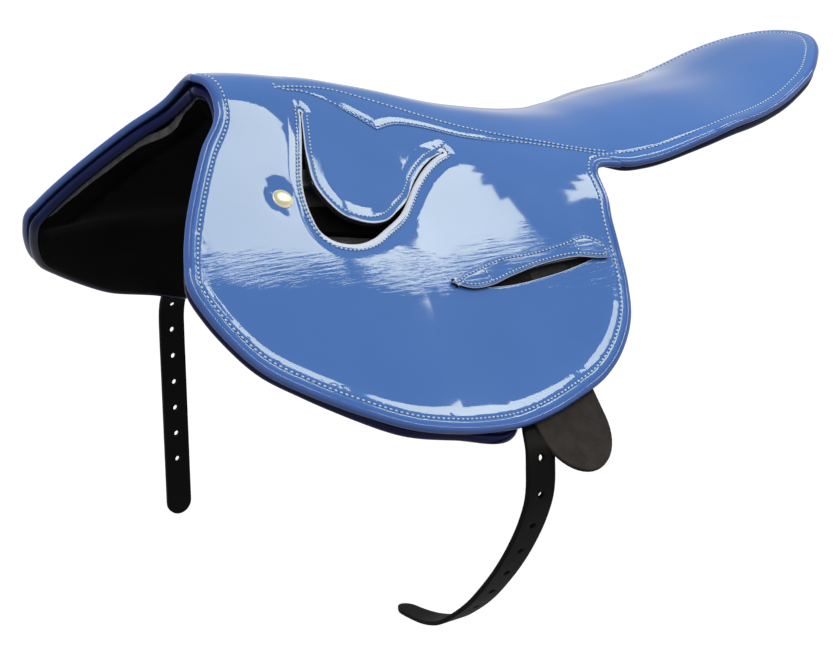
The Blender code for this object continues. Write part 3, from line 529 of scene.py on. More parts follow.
class Pattern:
    """A flat pattern on the bench, built with +Y as "out", and its way to a thick draped sheet."""

    def __init__(self, name: str, last: Last) -> None:
        self.name = name
        self.last = last
        self.parts: list[Piece] = []
        self.obj: Piece | None = None

    def band(self, lines: Points) -> None:
        """Adds a strip of faces.

        Args:
            lines: The strip's rows of points, from the edge inwards, as (row, point, coordinate).
        """
        rows, count = lines.shape[:2]
        bpy.ops.mesh.primitive_grid_add(x_subdivisions=count - 1, y_subdivisions=rows - 1, size=1)
        strip = bpy.context.object
        set_points(strip, lines.reshape(-1, 3))
        with editing(strip):
            bpy.ops.mesh.mark_seam()
        self.parts.append(strip)

    def middle(self, loops: Sequence[Points]) -> None:
        """Fills the room between loops.

        Args:
            loops: The outer rim, and then the rims of the holes in it.
        """
        rims = []
        for loop in loops:
            bpy.ops.mesh.primitive_circle_add(vertices=len(loop), fill_type="NOTHING")
            set_points(bpy.context.object, np.column_stack((loop[:, :2], np.zeros(len(loop)))))
            rims.append(bpy.context.object)
        sheet = joined(rims, "middle")
        with editing(sheet):
            bpy.ops.mesh.mark_seam()
            bpy.ops.mesh.fill(use_beauty=True)
        self.parts.append(sheet)

    def cut(self, backs: Points, outs: Points, extra: Sequence[tuple[Vector, Vector]] = ()) -> None:
        """Joins the parts, and cuts them along the lines where the sheet bends.

        Args:
            backs: Where the cuts across the saddle lie.
            outs: Where the cuts along it lie.
            extra: More cuts, each by a point and a direction across it.
        """
        self.obj = joined(self.parts, self.name)
        planes = [(Vector((back, 0, 0)), Vector((1, 0, 0))) for back in backs]
        planes += [(Vector((0, out, 0)), Vector((0, 1, 0))) for out in outs]
        with editing(self.obj):
            bpy.ops.mesh.remove_doubles(threshold=0.01 * MM)
            for point, across in planes + list(extra):
                bpy.ops.mesh.select_all(action="SELECT")
                bpy.ops.mesh.bisect(plane_co=point, plane_no=across, threshold=0.02 * MM)
                bpy.ops.mesh.mark_seam()
            bpy.ops.mesh.select_all(action="SELECT")
            bpy.ops.mesh.dissolve_limited(angle_limit=0.0005, use_dissolve_boundaries=False, delimit={"SEAM"})
            bpy.ops.mesh.select_all(action="SELECT")
            bpy.ops.mesh.mark_seam(clear=True)
            bpy.ops.mesh.select_face_by_sides(number=4, type="GREATER")
            bpy.ops.mesh.quads_convert_to_tris()
        self.face_up(self.obj)

    @staticmethod
    def face_up(obj: Piece) -> None:
        """Turns the faces of a flat sheet upwards.

        Args:
            obj: The sheet.
        """
        sheet = bmesh.new()
        sheet.from_mesh(obj.data)
        bmesh.ops.reverse_faces(sheet, faces=[face for face in sheet.faces if face.normal.z < 0])
        sheet.to_mesh(obj.data)
        sheet.free()

    def split(self, loop: Points, name: str) -> "Pattern":
        """Takes a part of the sheet off.

        Args:
            loop: The rim of that part.
            name: The name of the pattern that it becomes.

        Returns:
            The new pattern.
        """
        sheet = self.obj.data
        centres = np.array([face.center[:2] for face in sheet.polygons])
        inside = is_inside(centres, loop)
        with editing(self.obj):
            bpy.ops.mesh.select_all(action="DESELECT")
        sheet.polygons.foreach_set("select", inside)
        before = set(bpy.data.objects)
        only(self.obj)
        bpy.ops.object.mode_set(mode="EDIT")
        bpy.ops.mesh.separate(type="SELECTED")
        bpy.ops.object.mode_set(mode="OBJECT")
        taken = Pattern(name, self.last)
        taken.obj = next(obj for obj in bpy.data.objects if obj not in before)
        taken.obj.name = taken.obj.data.name = name
        return taken

    def finish(self, thickness: float, relief: Callable[[Points], Points] | None = None,
               top: Callable[[Points], Points] | None = None,
               under: Callable[[Points], Points] | None = None,
               rim: Callable[[Points], Points] | None = None) -> Piece:
        """Gives the sheet its thickness and drapes it.

        Args:
            thickness: Thickness of the sheet, if under is left out.
            relief: Height that is added all through the sheet, for its flat points.
            top: The depth of the upper skin in place of 0, for its flat points.
            under: The depth of the lower skin in place of the thickness, for its flat points.
            rim: Which flat points of the upper skin lie on the pale rim: the edge's own pale colour with a
                painted highlight of its rounded top.

        Returns:
            The closed sheet. Its faces have slot 0 above, 1 on the rim and 2 on the walls and below.
        """
        obj = self.obj
        count = len(obj.data.vertices)
        with editing(obj):
            bpy.ops.mesh.extrude_region_move()
        points = points_of(obj)
        flats = points[:, :2].copy()
        lift = relief(flats) if relief else np.zeros(len(points))
        upper = np.arange(len(points)) < count
        ceiling = top(points[:, :2]) if top else 0.0
        floor = under(points[:, :2]) if under else -thickness
        points[:, 2] = np.where(upper, points[:, 2] + ceiling, floor) + lift
        set_points(obj, points)
        with editing(obj):
            bpy.ops.mesh.normals_make_consistent(inside=False)
        centres = np.array([np.mean(flats[list(face.vertices)], axis=0) for face in obj.data.polygons])
        is_upper = np.array([max(face.vertices) < count for face in obj.data.polygons])
        on_rim = rim(centres) if rim else np.zeros(len(centres), bool)
        slots = np.where(is_upper, on_rim.astype(int), 2)
        for _ in range(3):
            obj.data.materials.append(None)
        obj.data.polygons.foreach_set("material_index", slots)
        sheet = bmesh.new()
        sheet.from_mesh(obj.data)
        if sheet.calc_volume(signed=True) < 0:
            bmesh.ops.reverse_faces(sheet, faces=sheet.faces)
        sheet.to_mesh(obj.data)
        sheet.free()
        set_points(obj, self.last.place(points))
        return obj


def ring_lines(line: Points, outward: Points, profile: Sequence[tuple[float, float]],
               closed: bool = False) -> Points:
    """Rows of points beside a flat line.

    Args:
        line: The edge.
        outward: For each point, the direction in which the rows step off.
        profile: For each row, its distance from the edge and its height, in millimetres.
        closed: Whether the rows come back to their first point.

    Returns:
        The rows as (row, point, coordinate).
    """
    rows = []
    for distance, height in profile:
        row = np.column_stack((line + outward * distance * MM, np.full(len(line), height * MM)))
        rows.append(np.vstack((row, row[:1])) if closed else row)
    return np.array(rows)


def smooth(obj: Piece, degrees: float = 50.0) -> None:
    """Smooth shading with sharp edges over an angle."""
    only(obj)
    bpy.ops.object.shade_smooth_by_angle(angle=math.radians(degrees))


def dress(obj: Piece, *materials: bpy.types.Material) -> Piece:
    """Puts materials in a piece's slots.

    Args:
        obj: The piece.
        *materials: One for each slot. The last one fills the slots that are left.

    Returns:
        The piece.
    """
    if not obj.data.materials:
        obj.data.materials.append(None)
    for index in range(len(obj.data.materials)):
        obj.data.materials[index] = materials[min(index, len(materials) - 1)]
    return obj


def tube(name: str, line: Points, radius: float, resolution: int = 5) -> Piece:
    """A rolled edge, made a mesh.

    Args:
        name: Its name.
        line: Its middle line in space.
        radius: Half its thickness.
        resolution: How finely it is rounded.

    Returns:
        The closed roll.
    """
    bpy.ops.object.select_all(action="DESELECT")
    curve = bpy.data.curves.new(name, "CURVE")
    curve.dimensions = "3D"
    curve.bevel_depth, curve.bevel_resolution, curve.use_fill_caps = radius, resolution, True
    spline = curve.splines.new("POLY")
    spline.points.add(len(line) - 1)
    spline.points.foreach_set("co", np.column_stack((line, np.ones(len(line)))).ravel())
    obj = bpy.data.objects.new(name, curve)
    bpy.context.scene.collection.objects.link(obj)
    only(obj)
    bpy.ops.object.convert(target="MESH")
    smooth(obj, 60)
    return obj


@dataclass(frozen=True)
class Thread:
    """A sewing thread: its pitch, one stitch of it, and a darker blob at the stitch's end that is painted
    shade of the needle hole.
    """

    pitch: float = 3.4 * MM
    length: float = 2.0 * MM
    radius: float = 0.70 * MM
    # The size of the darker blob at each stitch's end: painted shade of the needle hole.
    hole: tuple[float, float, float] = (0.66 * MM, 0.30 * MM, 0.60 * MM)
    raised: float = 0.28 * MM

    def row(self, name: str, last: Last, rows: Sequence[Points]) -> Piece:
        """Stitches along flat lines on one piece.

        Args:
            name: The piece's name.
            last: The shape that the leather follows.
            rows: Lines of flat points (back, side, height).

        Returns:
            All stitches in one mesh, each with a darker blob of painted needle-hole shade in the second slot.
        """
        bpy.ops.mesh.primitive_uv_sphere_add(segments=6, ring_count=5, radius=1.0)
        model = bpy.context.object
        stitch = (self.radius, self.radius * 0.8, self.length / 2)
        # The second shape is the dark blob of painted needle-hole shade.
        shapes = [points_of(model) * size for size in (stitch, self.hole)]
        faces = [list(face.vertices) for face in model.data.polygons]
        bpy.data.objects.remove(model)
        points, polygons, slots = [], [], []
        for line in rows:
            route = spaced(last.place(line), self.pitch)
            flats = spaced(line, 1.0 * MM)
            normals = last.normals(flats[:, 0], flats[:, 1])
            picks = np.linspace(0, len(flats) - 1, len(route)).round().astype(int)
            for middle, end, pick in zip(route, route[1:], picks):
                along = (end - middle) / np.linalg.norm(end - middle)
                across = np.cross(normals[pick], along)
                across /= np.linalg.norm(across)
                up = np.cross(along, across)
                centres = ((middle + end) / 2 + up * self.raised, end)
                for slot, (shape, centre) in enumerate(zip(shapes, centres)):
                    polygons += [[v + len(points) * len(shape) for v in face] for face in faces]
                    points.append(centre + shape @ np.array((across, up, along)))
                    slots += [slot] * len(faces)
        mesh = bpy.data.meshes.new(name)
        mesh.from_pydata(np.vstack(points).tolist(), [], polygons)
        mesh.materials.append(None)
        mesh.materials.append(None)
        mesh.polygons.foreach_set("material_index", slots)
        obj = bpy.data.objects.new(name, mesh)
        bpy.context.scene.collection.objects.link(obj)
        smooth(obj, 80)
        return obj


class Tree:
    """The nodes of one material or shared group, laid and joined."""

    def __init__(self, tree: bpy.types.NodeTree) -> None:
        self.tree = tree

    def add(self, kind: str, values: Sequence[object] = (), settings: dict[str, object] | None = None,
            **inputs: object) -> bpy.types.Node:
        """Adds a node.

        Args:
            kind: The node's type, without its "ShaderNode".
            values: Numbers or sockets for the first inputs, in order.
            settings: The node's own choices.
            **inputs: Numbers, colours or sockets for inputs by name, with _ for a space.

        Returns:
            The node.
        """
        made = self.tree.nodes.new(kind if kind.startswith("Node") else "ShaderNode" + kind)
        for key, value in (settings or {}).items():
            setattr(made, key, value)
        named = {key.replace("_", " "): value for key, value in inputs.items()}
        for socket, value in [*zip(made.inputs, values), *((made.inputs[k], v) for k, v in named.items())]:
            if isinstance(value, Socket):
                self.tree.links.new(value, socket)
            else:
                socket.default_value = value
        return made

    def math(self, operation: str, *values: object) -> Socket:
        """The result of one sum."""
        return self.add("Math", values, {"operation": operation}).outputs[0]

    def noise(self, scale: tuple[float, float, float], detail: float = 3.0, roughness: float = 0.5) -> Socket:
        """Noise on the object's own coordinates, with a scale for each axis."""
        scaled = self.add("Mapping", (self.place(),), Scale=scale).outputs[0]
        return self.add("TexNoise", Vector=scaled, Scale=1.0, Detail=detail, Roughness=roughness).outputs[0]

    def place(self) -> Socket:
        """The object's own coordinates."""
        return self.add("TexCoord").outputs["Object"]

    def ramp(self, value: Socket, start: float, end: float, low: float | Socket = 0.0,
             high: float | Socket = 1.0, even: bool = False) -> Socket:
        """A value carried from one range to another.

        Args:
            value: The value.
            start: Where its range starts.
            end: Where its range ends.
            low: The result at the start.
            high: The result at the end.
            even: Whether both ends are rounded off, and not straight.

        Returns:
            The result, which stays between low and high.
        """
        kind = "SMOOTHSTEP" if even else "LINEAR"
        return self.add("MapRange", settings={"interpolation_type": kind}, Value=value, From_Min=start,
                        From_Max=end, To_Min=low, To_Max=high).outputs[0]

    def link(self, value: Socket, socket: Socket) -> None:
        """Joins two sockets."""
        self.tree.links.new(value, socket)


def group(name: str, inputs: dict[str, float],
          outputs: Sequence[str]) -> tuple[Tree, bpy.types.Node, bpy.types.Node]:
    """Starts a shared node group with number sockets.

    Args:
        name: Its name.
        inputs: The name and the usual value of each input.
        outputs: The name of each output.

    Returns:
        The group's tree, and its input and output nodes.
    """
    made = bpy.data.node_groups.new(name, "ShaderNodeTree")
    for word, value in inputs.items():
        made.interface.new_socket(word, in_out="INPUT", socket_type="NodeSocketFloat").default_value = value
    for word in outputs:
        made.interface.new_socket(word, in_out="OUTPUT", socket_type="NodeSocketFloat")
    tree = Tree(made)
    return tree, tree.add("NodeGroupInput"), tree.add("NodeGroupOutput")


class Effects:
    """Effects that several materials share, each a node group."""

    def __init__(self) -> None:
        self.grain = self.make_grain()
        self.creases = self.make_creases()
        self.cloud = self.make_cloud()

    @staticmethod
    def make_grain() -> bpy.types.NodeTree:
        """Leather grain: small cells with rounded tops.

        Returns:
            The group. Its output is the height.
        """
        tree, given, result = group("leather_grain", {"Scale": 900.0, "Amount": 1.0}, ("Height",))
        scale, amount = given.outputs[:2]
        cells = tree.add("TexVoronoi", settings={"feature": "SMOOTH_F1"}, Vector=tree.place(), Scale=scale)
        tops = tree.math("SUBTRACT", 1.0, cells.outputs[0])
        tree.link(tree.math("MULTIPLY", tops, amount), result.inputs[0])
        return tree.tree

    @staticmethod
    def make_creases() -> bpy.types.NodeTree:
        """Fine creases that run along the saddle, in a band half way down the flank.

        Returns:
            The group. Its output is the height.
        """
        names = {"Amount": 1.0, "Level": -0.0745, "Reach": 0.016, "Slope": 0.158}
        tree, given, result = group("soft_creases", names, ("Height",))
        amount, start, reach, slope = given.outputs[:4]
        fine = tree.noise((40.0, 460.0, 460.0), 3.0, 0.55)
        broad = tree.noise((16.0, 30.0, 30.0), 1.0)
        split = tree.add("SeparateXYZ", (tree.place(),)).outputs
        above = tree.math("SUBTRACT", tree.math("MULTIPLY_ADD", split[0], slope, split[2]), start)
        wide_reach = tree.math("MULTIPLY", reach, tree.ramp(split[0], 0.0, 0.06, 1.0, 2.4, even=True))
        high = tree.ramp(tree.math("DIVIDE", above, wide_reach), 0.2, 1.0, 1.0, 0.0, even=True)
        low = tree.ramp(tree.math("DIVIDE", above, reach), -0.9, -0.3, even=True)
        patches = tree.ramp(broad, 0.35, 0.6, 0.3, 1.0, even=True)
        zone = tree.math("MULTIPLY", tree.math("MULTIPLY", high, low), patches)
        tree.link(tree.math("MULTIPLY", fine, tree.math("MULTIPLY", zone, amount)), result.inputs[0])
        return tree.tree

    @staticmethod
    def make_cloud() -> bpy.types.NodeTree:
        """Slow changes of tone over a surface.

        Returns:
            The group. Its output is the tone.
        """
        tree, given, result = group("tone_cloud", {"Scale": 30.0, "Low": 0.0, "High": 1.0}, ("Tone",))
        scale, low, high = given.outputs[:3]
        noise = tree.add("TexNoise", Vector=tree.place(), Scale=scale, Detail=3.0, Roughness=0.55)
        tree.link(tree.ramp(noise.outputs[0], 0.3, 0.7, low, high), result.inputs[0])
        return tree.tree


@dataclass(frozen=True)
class Finish:
    """A finish that the shared effects dress: its two tones, its gloss and its relief."""

    name: str
    dark: tuple[float, float, float]
    light: tuple[float, float, float]
    roughness: float
    spread: float = 0.0
    metallic: float = 0.0
    specular: float = 0.5
    sheen: float = 0.0
    cloud_scale: float = 30.0
    grain_scale: float = 900.0
    grain_depth: float = 0.0
    crease_depth: float = 0.0
    weave: float = 0.0
    threads: float = 5200.0

    def build(self, effects: Effects) -> bpy.types.Material:
        """Makes the material.

        Args:
            effects: The shared effects.

        Returns:
            The material, with its nodes.
        """
        made = bpy.data.materials.new(self.name)
        made.use_nodes = True
        tree = Tree(made.node_tree)
        shader = made.node_tree.nodes["Principled BSDF"].inputs
        cloud = tree.add("Group", settings={"node_tree": effects.cloud}, Scale=self.cloud_scale).outputs[0]
        colour = tree.add("Mix", settings={"data_type": "RGBA"})
        colour.inputs[6].default_value, colour.inputs[7].default_value = (*self.dark, 1.0), (*self.light, 1.0)
        tree.link(cloud, colour.inputs[0])
        tree.link(colour.outputs[2], shader["Base Color"])
        for name, value in (("Metallic", self.metallic), ("Specular IOR Level", self.specular),
                            ("Sheen Weight", self.sheen), ("Roughness", self.roughness)):
            shader[name].default_value = value
        if self.spread:
            tree.link(tree.math("MULTIPLY_ADD", cloud, self.spread, self.roughness), shader["Roughness"])
        heights = []
        if self.grain_depth:
            heights.append(tree.add("Group", settings={"node_tree": effects.grain}, Scale=self.grain_scale,
                                    Amount=self.grain_depth).outputs[0])
        if self.crease_depth:
            heights.append(tree.add("Group", settings={"node_tree": effects.creases},
                                    Amount=self.crease_depth).outputs[0])
        if self.weave:
            heights.append(self.woven(tree))
        for height in heights[1:]:
            heights[0] = tree.math("ADD", heights[0], height)
        if heights:
            bump = tree.add("Bump", Strength=1.0, Distance=1.0 * MM, Height=heights[0])
            tree.link(bump.outputs[0], shader["Normal"])
        return made

    def woven(self, tree: Tree) -> Socket:
        """The height of a plain weave.

        Args:
            tree: The material's nodes.

        Returns:
            The height.
        """
        split = tree.add("SeparateXYZ", (tree.place(),)).outputs
        turns = [tree.math("SINE", tree.math("MULTIPLY", split[axis], self.threads)) for axis in (0, 1)]
        return tree.math("MULTIPLY", tree.math("MULTIPLY", *turns), self.weave)


class Palette:
    """Every finish of the saddle."""

    def __init__(self) -> None:
        effects = Effects()
        finishes = (
            Finish("blue_patent", (0.064, 0.182, 0.525), (0.072, 0.194, 0.553), 0.035, spread=0.015,
                   crease_depth=0.22, cloud_scale=18.0),
            # A darker copy of the blue patent for the rolled edges: painted shade, as the rolls are the same
            # leather as the cover.
            Finish("roll_patent", (0.046, 0.125, 0.440), (0.055, 0.140, 0.470), 0.06, spread=0.02,
                   cloud_scale=25.0),
            # The dark blue binding of the padding, painted darker still as shade under the flaps and tail.
            Finish("navy_patent", (0.006, 0.010, 0.070), (0.011, 0.018, 0.105), 0.12, spread=0.05,
                   specular=0.14, cloud_scale=40.0),
            # The pale rim along cut edges: the edge's own pale colour with a painted highlight of its rounded
            # top.
            Finish("cut_edge", (0.60, 0.66, 0.84), (0.76, 0.80, 0.95), 0.45, grain_depth=0.1),
            Finish("flesh_side", (0.010, 0.010, 0.016), (0.020, 0.020, 0.032), 0.85, specular=0.2,
                   grain_depth=0.15, grain_scale=1600.0),
            Finish("black_lining", (0.0016, 0.0016, 0.0017), (0.0036, 0.0036, 0.0038), 0.6, specular=0.012,
                   grain_depth=0.12, grain_scale=1100.0),
            Finish("strap_leather", (0.0050, 0.0047, 0.0047), (0.0095, 0.0090, 0.0090), 0.5, spread=0.12,
                   specular=0.08, grain_depth=0.10, grain_scale=1300.0),
            Finish("brown_suede", (0.020, 0.016, 0.014), (0.038, 0.031, 0.028), 0.92, specular=0.15,
                   sheen=0.15, grain_depth=0.35, grain_scale=1700.0, cloud_scale=90.0),
            Finish("thread", (0.66, 0.82, 1.0), (0.80, 0.92, 1.0), 0.5, grain_depth=0.3,
                   grain_scale=3000.0),
            # Darker blue dots between the stitches: painted shade in the needle holes.
            Finish("needle_hole", (0.050, 0.145, 0.430), (0.060, 0.165, 0.470), 0.4, specular=0.3,
                   grain_depth=0.2, grain_scale=3000.0),
            Finish("polished_brass", (0.98, 0.88, 0.60), (1.0, 0.95, 0.74), 0.30, spread=0.06,
                   metallic=1.0, cloud_scale=60.0),
            Finish("forged_steel", (0.30, 0.30, 0.31), (0.50, 0.50, 0.51), 0.38, spread=0.15,
                   metallic=1.0, cloud_scale=120.0),
            Finish("tree_laminate", (0.0035, 0.0030, 0.0028), (0.0070, 0.0062, 0.0056), 0.7, specular=0.1,
                   grain_depth=0.1),
            Finish("grey_felt", (0.07, 0.07, 0.07), (0.13, 0.13, 0.13), 0.95, specular=0.1, sheen=0.3,
                   grain_depth=0.6, grain_scale=1400.0, cloud_scale=150.0),
            Finish("linen_web", (0.006, 0.005, 0.004), (0.013, 0.011, 0.009), 0.9, specular=0.05, weave=0.2),
        )
        self.made = {finish.name: finish.build(effects) for finish in finishes}

    def __getitem__(self, name: str) -> bpy.types.Material:
        """The material of a finish."""
        return self.made[name]


def settle(piece: Piece, *nodes: str, slot: str = "") -> None:
    """Ties a piece that doesn't move to the saddle.

    Args:
        piece: The piece.
        *nodes: The frame's nodes that it stands for.
        slot: The record's slot that it belongs to, where these nodes don't tell it; not used.
    """
    if nodes:
        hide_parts(*nodes)
    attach(piece, "saddle")
    LOG.info("%s: %d faces", piece.name, len(piece.data.polygons))


@dataclass
class Studio:
    """Camera, lamps, floor and background."""

    camera_place: tuple[float, float, float] = (-0.617, -0.954, 0.206)
    azimuth: float = 35.75
    elevation: float = 16.85
    lens: float = 75.63
    floor_height: float = -0.362
    lamp_height: float = 1.30
    radiance: float = 8.7
    lamp_colour: tuple[float, float, float] = (0.965, 1.0, 0.77)
    fill_limit: float = 0.9
    glow: tuple[float, float, float, float] = (-0.2, 0.7, 0.04, 1.02)
    ceiling: tuple[float, float, float, float] = (0.05, 0.55, 0.8, 0.45)
    floor_tone: float = 0.15
    floor_glow: tuple[float, float] = (0.94, 0.40)
    soft_boxes: Sequence[tuple[float, float, float, float]] = (
        (0.36, 0.60, -0.49, -0.46), (0.36, 0.95, -0.46, -0.18), (1.04, 1.08, -0.43, -0.37),
        (1.08, 1.12, -0.43, -0.28), (1.12, 1.16, -0.44, -0.19), (1.16, 1.24, -0.45, -0.14),
        (1.24, 1.68, -0.46, -0.18), (1.68, 2.05, -0.36, -0.20),
    )

    def build(self) -> None:
        """Sets up the whole studio."""
        self.make_camera()
        self.make_world()
        self.make_floor()
        for index, (left, right, near, far) in enumerate(self.soft_boxes):
            self.lamp(f"soft_box_{index}", left, right, near, far)

    def make_camera(self) -> None:
        """The camera at the photograph's place."""
        bpy.ops.object.camera_add(location=self.camera_place)
        camera = bpy.context.object
        turn, rise = math.radians(self.azimuth), math.radians(self.elevation)
        ahead = Vector((math.sin(turn) * math.cos(rise), math.cos(turn) * math.cos(rise), -math.sin(rise)))
        camera.rotation_mode = "QUATERNION"
        camera.rotation_quaternion = ahead.to_track_quat("-Z", "Y")
        camera.data.lens, camera.data.sensor_width = self.lens, 36.0
        camera.data.clip_start, camera.data.clip_end = 0.01, 50.0
        bpy.context.scene.camera = camera

    def shown(self, tree: Tree) -> Socket:
        """Which rays show the backdrop and don't light the saddle.

        Args:
            tree: The nodes of the world or the floor.

        Returns:
            1 for rays from the camera, and for those that a mirror or glass sends on.
        """
        path = tree.add("LightPath").outputs
        seen = tree.math("MAXIMUM", path["Is Camera Ray"], path["Is Transmission Ray"])
        return tree.math("MAXIMUM", seen, path["Is Glossy Ray"])

    def backdrop(self, tree: Tree, seen: float, mirrored_part: float | Socket) -> Socket:
        """How bright the backdrop is.

        Args:
            tree: The nodes of the world or the floor.
            seen: Its strength for the camera and through glass.
            mirrored_part: Its strength in a mirror.

        Returns:
            The strength that suits the ray.
        """
        return tree.ramp(tree.add("LightPath").outputs["Is Glossy Ray"], 0.0, 1.0, seen, mirrored_part)

    def make_world(self) -> None:
        """A white background, and an even dim light from above."""
        world = bpy.data.worlds.new("studio")
        bpy.context.scene.world = world
        world.use_nodes = True
        tree = Tree(world.node_tree)
        shade = world.node_tree.nodes["Background"].inputs
        shade["Color"].default_value = (1.0, 1.0, 1.0, 1.0)
        rise = tree.add("SeparateXYZ", (tree.add("TexCoord").outputs["Generated"],)).outputs[2]
        glow = tree.ramp(rise, *self.glow, even=True)
        ceiling = tree.ramp(rise, *self.ceiling, even=True)
        backdrop = self.backdrop(tree, 1.0, ceiling)
        tree.link(tree.ramp(self.shown(tree), 0.0, 1.0, glow, backdrop), shade["Strength"])

    def make_floor(self) -> None:
        """A plain pale floor that keeps a soft shadow."""
        bpy.ops.mesh.primitive_plane_add(size=30.0, location=(0.0, 0.0, self.floor_height))
        floor = bpy.context.object
        floor.name = "floor"
        made = bpy.data.materials.new("floor")
        made.use_nodes = True
        tree = Tree(made.node_tree)
        shader = made.node_tree.nodes["Principled BSDF"].inputs
        shader["Base Color"].default_value = (*[self.floor_tone] * 3, 1.0)
        shader["Emission Color"].default_value = (1.0, 1.0, 1.0, 1.0)
        shader["Roughness"].default_value, shader["Specular IOR Level"].default_value = 0.9, 0.0
        strength = self.backdrop(tree, *self.floor_glow)
        tree.link(tree.math("MULTIPLY", self.shown(tree), strength), shader["Emission Strength"])
        floor.data.materials.append(made)

    def lamp(self, name: str, left: float, right: float, near: float, far: float) -> None:
        """A soft box over the saddle that looks straight down.

        Args:
            name: The lamp's name.
            left: Where it starts along X.
            right: Where it ends along X.
            near: Where it starts along Y.
            far: Where it ends along Y.
        """
        place = ((left + right) / 2, (near + far) / 2, self.lamp_height)
        bpy.ops.object.light_add(type="AREA", location=place)
        lamp = bpy.context.object
        lamp.name = name
        lamp.data.shape, lamp.data.size, lamp.data.size_y = "RECTANGLE", right - left, far - near
        lamp.visible_diffuse = left < self.fill_limit
        lamp.data.color = self.lamp_colour
        lamp.data.energy = self.radiance * math.pi * (right - left) * (far - near)


@dataclass
class SideLeather:
    """The leather of one side: cover and flap, skirt, keeper, rolled edge, stud and stitching."""

    last: Last
    palette: Palette
    thickness: float = 4.4 * MM
    step: float = 3.4 * MM
    roll_radius: float = 2.5 * MM
    roll_inset: float = 0.8 * MM
    seam_inset: float = 5.7
    slit_seams: tuple[float, float] = (3.4, 1.9)
    swell: float = 1.2 * MM
    swells: Swells = field(default_factory=Swells)
    arch_rise: float = 2.0 * MM
    stud_place: tuple[float, float] = (-0.0855, 0.0795)
    dimple: tuple[float, float] = (1.3 * MM, 9.5 * MM)
    tip_radius: float = 0.55 * MM
    skirt_lift: float = 2.0 * MM
    skirt_depth: float = 52.0 * MM
    rear_rise: float = 0.8 * MM
    fold_front: tuple[float, float, float] = (-0.100, 0.1141, -0.0969)
    fold_rear: tuple[float, float, float] = (0.160, 0.1087, -0.1023)
    fold_reach: float = 14.0 * MM
    edge_profile: Line = (
        (0.0, -3.0), (0.8, -1.7), (1.8, -0.7), (2.8, -0.25), (3.8, -0.10), (4.8, -0.15), (5.3, -0.35),
        (5.7, -0.42), (6.1, -0.35), (6.7, -0.10), (7.4, 0.0), (8.5, 0.0), (9.8, 0.0), (10.9, 0.0),
        (12.2, 0.0),
    )
    slit_profile: Line = (
        (0.0, -1.30), (0.15, -1.00), (0.6, -0.82), (1.3, -0.74), (2.2, -0.70), (2.9, -0.72), (3.4, -0.80),
        (4.0, -0.66), (4.9, -0.50), (5.8, -0.36), (6.8, -0.20), (7.9, -0.06), (9.0, 0.0),
    )
    skirt_profile: Line = (
        (0.0, -0.95), (0.15, -0.65), (0.6, -0.54), (1.3, -0.50), (2.2, -0.49), (2.9, -0.54), (3.4, -0.60),
        (4.0, -0.46), (4.9, -0.38), (5.8, -0.29), (6.8, -0.20), (7.9, -0.10), (9.0, 0.0),
    )
    rims: tuple[float, float, float] = (0.5 * MM, 1.2 * MM, 2.1 * MM)
    lip_reach: tuple[float, float] = (6.8 * MM, 11.4 * MM)
    lip_slopes: Line = (
        (30, 0.0), (38, 0.10), (40, 0.27), (45, 0.22), (50, 0.175), (55, 0.165), (60, 0.145), (65, 0.13),
        (70, 0.08), (80, 0.08), (85, 0.06), (90, 0.03), (95, 0.02), (100, 0.03), (105, 0.065), (110, 0.115),
        (120, 0.11), (125, 0.18), (130, 0.24), (140, 0.26), (147, 0.12), (152, 0.0),
    )
    keeper_slot_profile: Line = ((0.0, -0.5), (0.4, -0.1), (1.0, 0.0), (2.0, 0.0))
    keeper_profile: Line = (
        (0.0, -0.7), (0.3, -0.2), (0.9, 0.0), (1.3, -0.12), (1.7, -0.2), (2.1, -0.12), (2.6, 0.0), (3.4, 0.0),
    )
    stud_profile: Line = (
        (6.6, -0.3), (6.75, 0.3), (6.6, 0.8), (6.25, 1.0), (5.95, 0.9), (5.8, 1.05), (5.2, 1.5), (4.2, 1.9),
        (2.9, 2.2), (1.5, 2.35),
    )
    thread: Thread = field(default_factory=Thread)
    fine_thread: Thread = Thread(pitch=3.0 * MM, length=1.75 * MM, radius=0.62 * MM)

    def __post_init__(self) -> None:
        """Works out the side's main lines."""
        self.edge = curve_through(flat((*FRONT_EDGE, *LOWER_EDGE, *REAR_EDGE)), self.step)
        self.inward = turned(self.edge, 40, (1.0, 0.0))
        self.inward[0] = (1.0, 0.0)
        self.tips = flat(SLIT_TIPS)
        self.slit = self.slit_loop()
        self.off_slit = beside(self.slit, False)
        self.skirt_region = curve_through(flat((SLIT_TIPS[0], *SKIRT_EDGE, SLIT_TIPS[1])), self.step)
        self.keeper = curve_through(flat(KEEPER_EDGE), 2.2 * MM, closed=True, corners=(0,))
        self.in_keeper = beside(self.keeper, True)
        self.root = (self.tips[1] - self.tips[0]) / np.linalg.norm(self.tips[1] - self.tips[0])
        self.off_root = np.array((-self.root[1], self.root[0]))

    def slit_loop(self) -> Points:
        """The whole closed edge of the U-shaped slit.

        Returns:
            Its points, with rounded tips.
        """
        outer = curve_through(flat((SLIT_TIPS[0], *SLIT_EDGE, SLIT_TIPS[1])), 2.4 * MM)[1:-1]
        inner = curve_through(flat((SLIT_TIPS[1], *reversed(SKIRT_EDGE), SLIT_TIPS[0])), 2.4 * MM)[1:-1]
        return np.vstack((self.tip(inner[-1], self.tips[0], outer[0]), outer,
                          self.tip(outer[-1], self.tips[1], inner[0]), inner))

    def tip(self, start: Points, end: Points, last: Points) -> Points:
        """A small round end between two sides of the slit.

        Args:
            start: The end of one side.
            end: The tip itself.
            last: The start of the other side.

        Returns:
            The points round the tip.
        """
        middle = (start + last) / 2
        ahead = end - middle
        ahead /= np.linalg.norm(ahead)
        across = np.array((-ahead[1], ahead[0])) * self.tip_radius
        across *= 1.0 if across @ (start - middle) > 0 else -1.0
        return np.array([end + across * math.cos(turn) + ahead * self.tip_radius * math.sin(turn)
                         for turn in np.linspace(0.0, math.pi, 7)])

